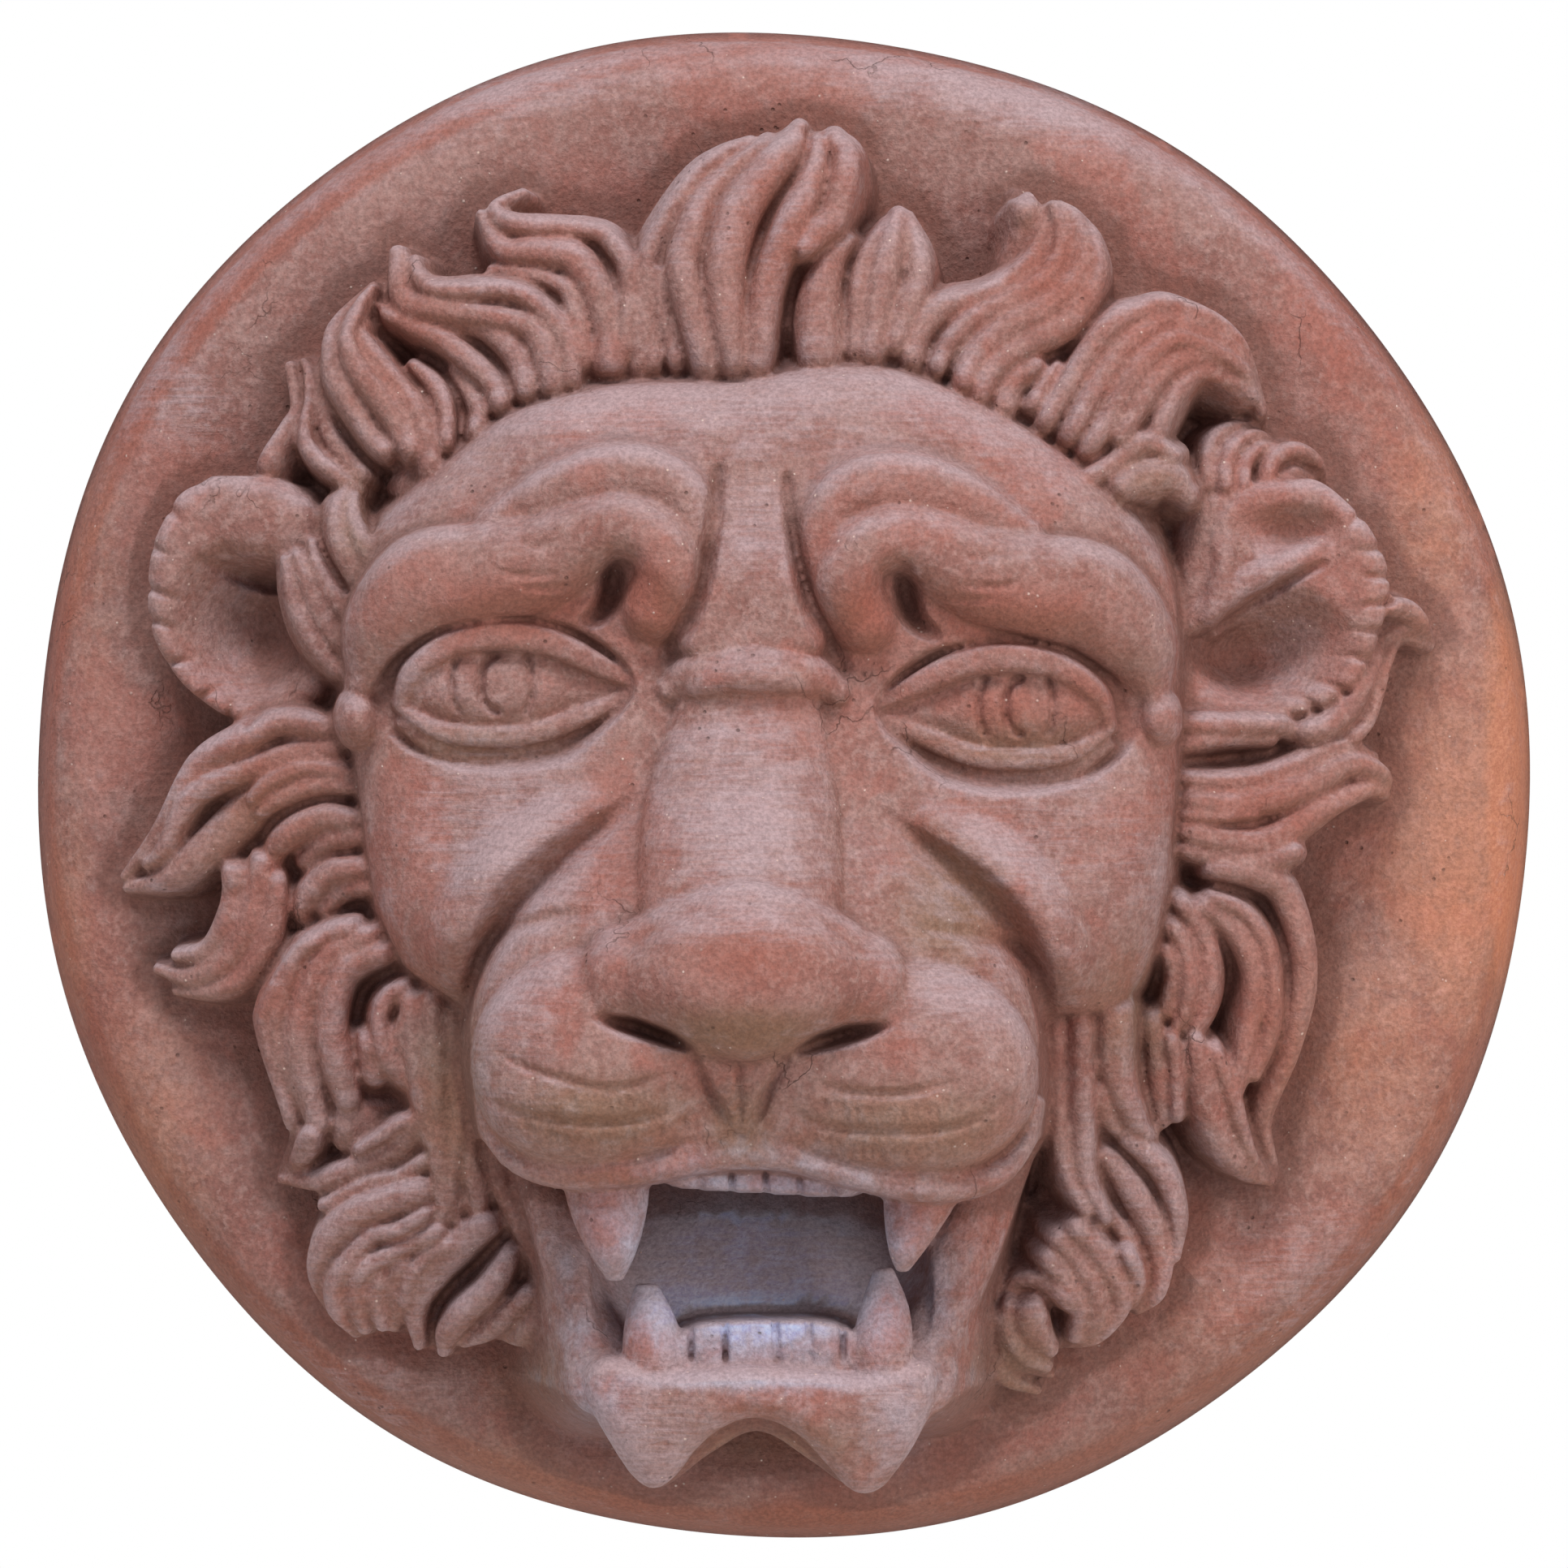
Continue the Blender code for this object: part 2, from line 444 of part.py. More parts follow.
def build_eye(sheet, across, down, flipped):
    """An eyeball between two lids, in a socket under the brow. It is drawn for the left eye and moved."""
    centre_x, centre_y = 612, 843

    def placed(points):
        turned = [(2 * centre_x - p[0], *p[1:]) for p in points] if flipped else points
        return [(p[0] + across, p[1] + down, *p[2:]) for p in turned]

    socket = [(455, 868), (478, 812), (520, 780), (580, 762), (690, 766), (750, 775), (800, 800),
              (808, 850), (770, 900), (690, 940), (590, 950), (500, 925)]
    upper_lid = [(492, 866, 9, 101), (510, 826, 14, 106), (552, 794, 16, 109), (605, 783, 17, 111),
                 (672, 790, 17, 110), (725, 814, 15, 108), (776, 838, 12, 105)]
    lower_lid = [(500, 872, 9, 100), (540, 900, 12, 103), (600, 908, 13, 104), (660, 903, 13, 104),
                 (722, 880, 12, 104), (778, 854, 9, 104)]
    bag = [(494, 890, 8, 97), (540, 922, 11, 99), (605, 936, 12, 100), (680, 926, 12, 100),
           (745, 896, 10, 99)]
    sheet.pit(placed(socket), 94, 1.6, 6)
    sheet.oval((centre_x + across, centre_y + down), (122, 56), 84, 104, 1.5)
    sheet.roll(placed(upper_lid), 4, 1, wall=8)
    sheet.roll(placed(lower_lid), 4, 1, wall=8)
    sheet.roll(placed(bag), 4, 1)


def build_bridge(sheet):
    strip = [(889, 572), (966, 575), (975, 659), (988, 721), (1008, 800), (844, 800), (864, 700),
             (880, 640)]
    sheet.slab(strip, 121, 18, 4)
    sheet.cut([(884, 575, 6, 5), (875, 646, 8, 9), (866, 700, 9, 11), (848, 757, 11, 13),
               (824, 806, 15, 12)])
    sheet.cut([(970, 585, 6, 5), (979, 659, 8, 9), (991, 721, 9, 11), (1005, 766, 11, 13),
               (1038, 826, 15, 12)])
    sheet.roll([(826, 848, 20, 114), (860, 832, 26, 121), (925, 824, 28, 125), (990, 830, 26, 122),
                (1030, 852, 20, 115)], 7)
    nose_back = [(922, 902, 96, 123), (916, 980, 118, 133), (912, 1060, 126, 144), (914, 1140, 128, 155),
                 (915, 1190, 124, 160)]
    sheet.roll(nose_back, 30, 24, 2.5, 1.6)


def build_mouth(sheet):
    """The open jaws: their skin, the hollow of the mouth, the lower lip and chin, and two rows of teeth."""
    def jaw_top(x, y):
        return 92 - 6 * ease((1600 - y) / 100) - 8 * np.abs(y - 1560) / 300 + 16 * ease((y - 1700) / 60)

    def chin_top(x, y):
        return 121 - 8 * ((x - FACE_AXIS) / 220) ** 2 - 10 * ease((y - 1720) / 130)

    sheet.slab(JAW_OUTLINE, jaw_top, 40, 12, 4, 14)
    def mouth_floor(x, y):
        return 48 + 32 * ease((y - 1480) / 170)

    sheet.pit(MOUTH_OUTLINE, mouth_floor, 10, 8)
    for points in both_sides([(672, 1500, 24, 86), (702, 1580, 32, 91), (724, 1640, 40, 98),
                              (748, 1706, 50, 107)], 0, 6):
        sheet.roll(points, 10, 18, wall=3)
    sheet.slab(CHIN_OUTLINE, chin_top, 26, 9, 3, 14)
    lower_row = [(846, 1636), (955, 1626), (1044, 1636), (1046, 1688), (940, 1684), (842, 1688)]
    upper_row = [(826, 1438), (930, 1430), (1048, 1450), (1050, 1474), (940, 1470), (832, 1462)]
    sheet.slab(lower_row, 112, 8, 3, 1, 20)
    sheet.slab(upper_row, 124, 8, 3, 1, 20)
    for x in (850, 892, 955, 997, 1037):
        sheet.cut([(x, 1630, 7, 7), (x + 2, 1676, 7, 7)])
    for x in (861, 901, 943, 985, 1026):
        sheet.cut([(x, 1440, 6, 6), (x + 1, 1475, 6, 6)])
    lip = [(594, 1352, 10, 116), (606, 1396, 12, 121), (642, 1432, 15, 128), (704, 1448, 17, 134),
           (790, 1442, 18, 137), (860, 1426, 20, 139), (915, 1418, 22, 140), (975, 1424, 20, 139),
           (1060, 1448, 18, 138), (1150, 1464, 18, 135), (1222, 1450, 16, 129), (1262, 1410, 12, 122),
           (1276, 1360, 10, 116)]
    sheet.roll(lip, 5, 4, wall=20)


def build_muzzle(sheet):
    def surface(x, y):
        return read_profile(MUZZLE_PROFILE, y) - 24 * (np.abs(x - FACE_AXIS + 10) / 350) ** 2.2

    sheet.slab(MUZZLE_OUTLINE, surface, 48, 16, 4, 5)
    crease = [(778, 982, 7, 1), (742, 1016, 14, 6), (692, 1052, 18, 9), (642, 1096, 20, 11),
              (606, 1150, 20, 11), (585, 1210, 16, 8), (578, 1270, 9, 1)]
    cheek = [(720, 990, 30, 3), (660, 1030, 46, 7), (598, 1088, 50, 9), (560, 1150, 44, 9),
             (548, 1210, 30, 5)]
    pad_crease = [(590, 1176, 9, 2), (622, 1148, 11, 5), (672, 1132, 11, 5), (728, 1124, 8, 1)]
    for points in both_sides(crease, 20):
        sheet.cut(points)
    for points in both_sides(cheek, 20):
        sheet.add(points)
    sheet.oval((730, 1310), (150, 144), 118, 149, 10, 2.7)
    sheet.oval((1120, 1322), (160, 140), 118, 149, 10, 2.7)
    for points in both_sides(pad_crease, 20):
        sheet.cut(points)
    sheet.slab(PHILTRUM_OUTLINE, 146, 16, 6, 3)
    for points in PHILTRUM_CUTS:
        sheet.cut(points)
    for points in both_sides([(604, 1404, 6, 1), (640, 1420, 9, 3), (741, 1433, 10, 4),
                              (857, 1402, 6, 1)], 10):
        sheet.cut(points)


def build_nose(sheet):
    sheet.oval((774, 1206), (64, 62), 112, 149, 14, 2.4)
    sheet.oval((1060, 1214), (60, 64), 112, 149, 14, 2.4)
    band_across = [(772, 1194, 58, 144), (842, 1184, 76, 151), (916, 1182, 86, 156), (992, 1188, 78, 152),
                   (1062, 1202, 56, 145)]
    sheet.roll(band_across, 22, 16, 2.4, 5)
    sheet.oval((916, 1212), (126, 92), 117, NOSE_HEIGHT, 16, 2.5)
    sheet.slab(SEPTUM_OUTLINE, 160, 26, 12, 8, 10)
    for points in NOSE_CUTS:
        sheet.cut(points)


def carve():
    """The clay in three layers, each with the way its lower parts lean in and the height it starts from."""
    plate, mane, head = Sheet(GRID_STEP), Sheet(GRID_STEP), Sheet(GRID_STEP)
    turn_plate(plate)
    comb_mane(mane)
    build_ears(mane)
    build_face(head)
    build_brows(head)
    build_eye(head, 0, 0, False)
    build_eye(head, 636, 28, True)
    for x in (440, 1428):
        head.oval((x, 885), (30, 40), 80, 98, 4)
    build_bridge(head)
    build_mouth(head)
    build_muzzle(head)
    build_nose(head)
    return [(plate, upright, -CUT_BELOW), (mane, under_mane, LAYER_FLOOR), (head, under_head, LAYER_FLOOR)]


def band(value, start, full, end, gone):
    """One between full and end, and fading to nought at start and at gone."""
    return ease((value - start) / (full - start)) * ease((gone - value) / (gone - end))


def upright(x, y, height):
    return x, y


def drop_below(height, undercut):
    return undercut[0] * np.maximum(undercut[1] - height, 0) * SLOPE


def under_mane(x, y, height):
    """The locks are undercut: what lies lower moves in towards the middle."""
    out_x, out_y = x - SHEET_CENTRE[0], y - SHEET_CENTRE[1]
    inwards = drop_below(height, MANE_UNDERCUT) / np.maximum(np.hypot(out_x, out_y), SHEET_ACROSS / 4)
    return x - inwards * out_x, y - inwards * out_y


def under_head(x, y, height):
    """The chin and the palate are undercut: what lies lower moves up."""
    chin = drop_below(height, CHIN_UNDERCUT) * ease((y - 1600) / 110)
    palate = drop_below(height, PALATE_UNDERCUT) * band(y, 1400, 1430, 1480, 1640)
    return x, y - chin - palate


def in_space(x, y, height):
    """A point of the sheet in metres. What stands forward is drawn in towards the axis."""
    forward = height * RISE
    draft = UNIT * (1 - forward / DRAFT_DISTANCE)
    return (x - SHEET_CENTRE[0]) * draft, -forward, (SHEET_CENTRE[1] - y) * draft


def solid_of_sheet(sheet, lean, floor):
    """What stands over the floor as a closed solid: the sheet's surface, straight sides and a flat bottom."""
    high = sheet.height > floor
    cells = high[:-1, :-1] | high[1:, :-1] | high[1:, 1:] | high[:-1, 1:]
    height = np.maximum(sheet.height, floor)
    top = np.stack(in_space(*lean(sheet.x, sheet.y, height), height), axis=-1).reshape(-1, 3)
    bottom = top * (1, 0, 1) - (0, (floor - CUT_BELOW / 2) * RISE, 0)
    index = np.arange(height.size).reshape(height.shape)
    quads = np.stack([index[:-1, :-1], index[1:, :-1], index[1:, 1:], index[:-1, 1:]], axis=-1)[cells]
    ends = np.concatenate([quads[:, [i, (i + 1) % 4]] for i in range(4)])
    border = ends[~np.isin(ends @ (height.size, 1), ends @ (1, height.size))]
    sides = np.concatenate([border, border[:, ::-1] + height.size], axis=1)
    mesh = bpy.data.meshes.new("layer")
    faces = np.concatenate([quads, quads[:, ::-1] + height.size, sides])
    mesh.from_pydata(np.concatenate([top, bottom]), [], faces)
    return mesh


def long_tooth(points):
    """A round tooth along (x, y, radius, height), closed at both ends."""
    shape = bmesh.new()
    rings = []
    for x, y, radius, height in smooth_curve(points, 3):
        ring = []
        for side in range(TOOTH_SIDES):
            turn = 2 * math.pi * side / TOOTH_SIDES
            centre = in_space(x, y, height)
            offset = (radius * UNIT * math.cos(turn), radius * UNIT * math.sin(turn))
            ring.append(shape.verts.new((centre[0] + offset[0], centre[1] + offset[1], centre[2])))
        rings.append(ring)
    for lower, upper in zip(rings, rings[1:]):
        for i in range(TOOTH_SIDES):
            shape.faces.new((lower[i - 1], lower[i], upper[i], upper[i - 1]))
    shape.faces.new(rings[0])
    shape.faces.new(rings[-1])
    bmesh.ops.recalc_face_normals(shape, faces=shape.faces)
    mesh = bpy.data.meshes.new("long_tooth")
    shape.to_mesh(mesh)
    shape.free()
    return mesh


def joined(meshes):
    shape = bmesh.new()
    for mesh in meshes:
        shape.from_mesh(mesh)
    whole = bpy.data.meshes.new("clay")
    shape.to_mesh(whole)
    shape.free()
    return whole


def evaluated_copy(obj):
    graph = bpy.context.evaluated_depsgraph_get()
    return bpy.data.meshes.new_from_object(obj.evaluated_get(graph), depsgraph=graph)


def fused(mesh):
    """The clay as one closed skin, thinned to the number of triangles that the form needs."""
    blank = bpy.data.objects.new("blank", mesh)
    bpy.context.collection.objects.link(blank)
    remesh = blank.modifiers.new("one_skin", "REMESH")
    remesh.mode = "VOXEL"
    remesh.voxel_size = VOXEL_SIZE
    skin = evaluated_copy(blank)
    blank.modifiers.remove(remesh)
    blank.data = skin
    thin = blank.modifiers.new("thin", "DECIMATE")
    thin.use_collapse_triangulate = True
    thin.ratio = TRIANGLES / sum(len(face.vertices) - 2 for face in skin.polygons)
    result = evaluated_copy(blank)
    bpy.data.objects.remove(blank)
    return result


def cut_back_flat(mesh):
    """Everything behind the plane Y = 0 is sliced off, and the cut closed as the flat back."""
    shape = bmesh.new()
    shape.from_mesh(mesh)
    geometry = shape.verts[:] + shape.edges[:] + shape.faces[:]
    cut = bmesh.ops.bisect_plane(
        shape, geom=geometry, dist=1e-6, plane_co=(0, 0, 0), plane_no=(0, 1, 0), clear_outer=True
    )
    edges = [item for item in cut["geom_cut"] if isinstance(item, bmesh.types.BMEdge)]
    bmesh.ops.holes_fill(shape, edges=edges, sides=0)
    bmesh.ops.triangulate(shape, faces=[face for face in shape.faces if len(face.verts) > 3])
    bmesh.ops.recalc_face_normals(shape, faces=shape.faces)
    shape.to_mesh(mesh)
    shape.free()
    return mesh


def terracotta():
    material = bpy.data.materials.new("terracotta")
    material.use_nodes = True
    shader = material.node_tree.nodes["Principled BSDF"]
    shader.inputs["Base Color"].default_value = (0.42, 0.20, 0.145, 1)
    shader.inputs["Roughness"].default_value = 0.86
    shader.inputs["Metallic"].default_value = 0
    return material


def main():
    for obj in list(bpy.data.objects):
        bpy.data.objects.remove(obj)
    layers = [solid_of_sheet(*layer) for layer in carve()]
    clay = joined(layers + [long_tooth(points) for points in LONG_TEETH.values()])
    mesh = cut_back_flat(fused(clay))
    mesh.name = "lion_roundel"
    mesh.shade_smooth()
    mesh.set_sharp_from_angle(angle=SMOOTH_ANGLE)
    mesh.materials.append(terracotta())
    bpy.context.collection.objects.link(bpy.data.objects.new("lion_roundel", mesh))


main()
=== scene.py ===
"""The terracotta lion roundel as it looks: the fine modelling of the clay and its weathered surface.

Metres, +Z up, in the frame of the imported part: the back is the plane Y = 0 and the face looks along -Y.
"""

import math

import bmesh
import bpy
import numpy as np
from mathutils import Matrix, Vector


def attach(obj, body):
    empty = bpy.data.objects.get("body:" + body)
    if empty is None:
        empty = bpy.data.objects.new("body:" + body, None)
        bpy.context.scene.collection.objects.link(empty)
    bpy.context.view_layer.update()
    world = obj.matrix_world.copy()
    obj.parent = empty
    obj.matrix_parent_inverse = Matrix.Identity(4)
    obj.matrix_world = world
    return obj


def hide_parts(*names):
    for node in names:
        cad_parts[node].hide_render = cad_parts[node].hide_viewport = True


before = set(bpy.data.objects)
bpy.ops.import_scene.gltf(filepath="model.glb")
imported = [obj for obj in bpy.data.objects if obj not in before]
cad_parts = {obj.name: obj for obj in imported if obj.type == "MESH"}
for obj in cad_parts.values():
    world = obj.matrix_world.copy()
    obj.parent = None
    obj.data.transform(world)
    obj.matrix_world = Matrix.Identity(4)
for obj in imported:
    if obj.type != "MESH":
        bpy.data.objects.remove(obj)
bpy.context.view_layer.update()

# Real sizes.
ROUNDEL_DIAMETER = 0.500
RELIEF_DEPTH = 0.169
RIM_THICKNESS = 0.014
CREST_THICKNESS = 0.033
DISH_THICKNESS = 0.024
CREST_WIDTH = 0.021
DISH_WIDTH = 0.120
# The relief draws in towards a point this far in front of the back, where the photograph was taken from.
DRAFT_DISTANCE = 3.0

# The drawing sheet: x to the right, y down, the plate's centre and its size across.
PHOTO_WIDTH = 1932
SHEET_CENTRE = (966, 965)
SHEET_ACROSS = 1834
FACE_AXIS = 935
GRID_STEP = 2.5
CUT_BELOW = 8
LAYER_FLOOR = 8

# Heights on the sheet are over the back, and the tip of the nose is this high.
NOSE_HEIGHT = 169

# Fineness of the finished skin.
VOXEL_SIZE = 0.001
TRIANGLES = 196000
TOOTH_SIDES = 28

UNIT = ROUNDEL_DIAMETER / SHEET_ACROSS
RISE = RELIEF_DEPTH / NOSE_HEIGHT
# A height of one is this many units across.
SLOPE = RISE / UNIT

# What lies lower than an edge leans in under it: by this share of the drop, down from this height.
MANE_UNDERCUT = (0.35, 58)
CHIN_UNDERCUT = (0.22, 108)
PALATE_UNDERCUT = (0.25, 112)
# The chin's undercut comes in over this stretch downwards, and the palate's comes in and goes again.
CHIN_BAND = (1600, 1710)
PALATE_BAND = (1400, 1430, 1480, 1640)

# The rim was trimmed by hand: waves round the rim, how far each strays, and its phase in degrees.
RIM_WAVES = ((1, 5, 163), (2, 7, 121), (3, 5, -18), (4, 3, 180), (8, 3, -120))

# Down the face: (y, height on its axis) and (y, how far it falls away towards its sides).
FACE_PROFILE = [(430, 94), (500, 100), (570, 106), (650, 112), (760, 112), (860, 110), (1000, 116),
                (1150, 122), (1450, 112)]
FACE_FALL = [(430, 26), (560, 34), (700, 28), (860, 24), (1000, 24), (1150, 32), (1300, 44), (1450, 60)]
MUZZLE_PROFILE = [(940, 108), (1040, 124), (1150, 138), (1250, 145), (1350, 144), (1480, 136)]

FACE_OUTLINE = [
    (560, 560), (640, 505), (770, 474), (900, 470), (1050, 450), (1160, 475), (1290, 545), (1395, 630),
    (1448, 740), (1452, 880), (1442, 1040), (1420, 1170), (1370, 1248), (1290, 1262), (1270, 1400),
    (1180, 1450), (930, 1430), (700, 1440), (590, 1380), (570, 1250), (500, 1190), (462, 1100),
    (440, 960), (420, 820), (440, 690), (500, 610),
]
MUZZLE_OUTLINE = [
    (800, 955), (700, 1045), (622, 1125), (588, 1210), (580, 1300), (600, 1395), (645, 1452),
    (740, 1462), (830, 1446), (915, 1440), (1000, 1446), (1100, 1472), (1190, 1482), (1252, 1450),
    (1280, 1350), (1274, 1240), (1240, 1165), (1170, 1090), (1060, 990), (930, 960),
]
JAW_OUTLINE = [
    (600, 1400), (628, 1480), (668, 1570), (706, 1650), (728, 1746), (774, 1815), (796, 1842),
    (822, 1845), (880, 1802), (937, 1777), (1002, 1816), (1032, 1838), (1064, 1849), (1092, 1828),
    (1142, 1764), (1160, 1690), (1232, 1560), (1272, 1470), (1282, 1400), (930, 1440),
]
CHIN_OUTLINE = [
    (722, 1690), (744, 1672), (780, 1676), (823, 1688), (940, 1681), (1060, 1692), (1108, 1680),
    (1142, 1676), (1156, 1696), (1150, 1730), (1130, 1778),
    (1108, 1814), (1086, 1840), (1062, 1846), (1040, 1834), (1018, 1806), (988, 1772), (955, 1752),
    (920, 1748), (886, 1762), (856, 1790), (832, 1824), (808, 1840), (786, 1832), (762, 1800), (724, 1728),
]
MOUTH_OUTLINE = [
    (800, 1440), (930, 1425), (1095, 1450), (1135, 1520), (1150, 1600), (1132, 1668), (1040, 1680),
    (930, 1672), (830, 1680), (752, 1668), (728, 1600), (735, 1520),
]
LEFT_EAR = [
    (268, 583), (348, 590), (378, 625), (395, 700), (410, 840), (380, 875), (308, 893), (254, 871),
    (210, 830), (181, 768), (183, 679), (214, 612), (245, 592),
]
RIGHT_EAR = [
    (1468, 622), (1500, 600), (1589, 588), (1634, 594), (1692, 652), (1716, 714), (1705, 779),
    (1674, 844), (1607, 881), (1500, 888), (1450, 884), (1440, 800), (1448, 700),
]

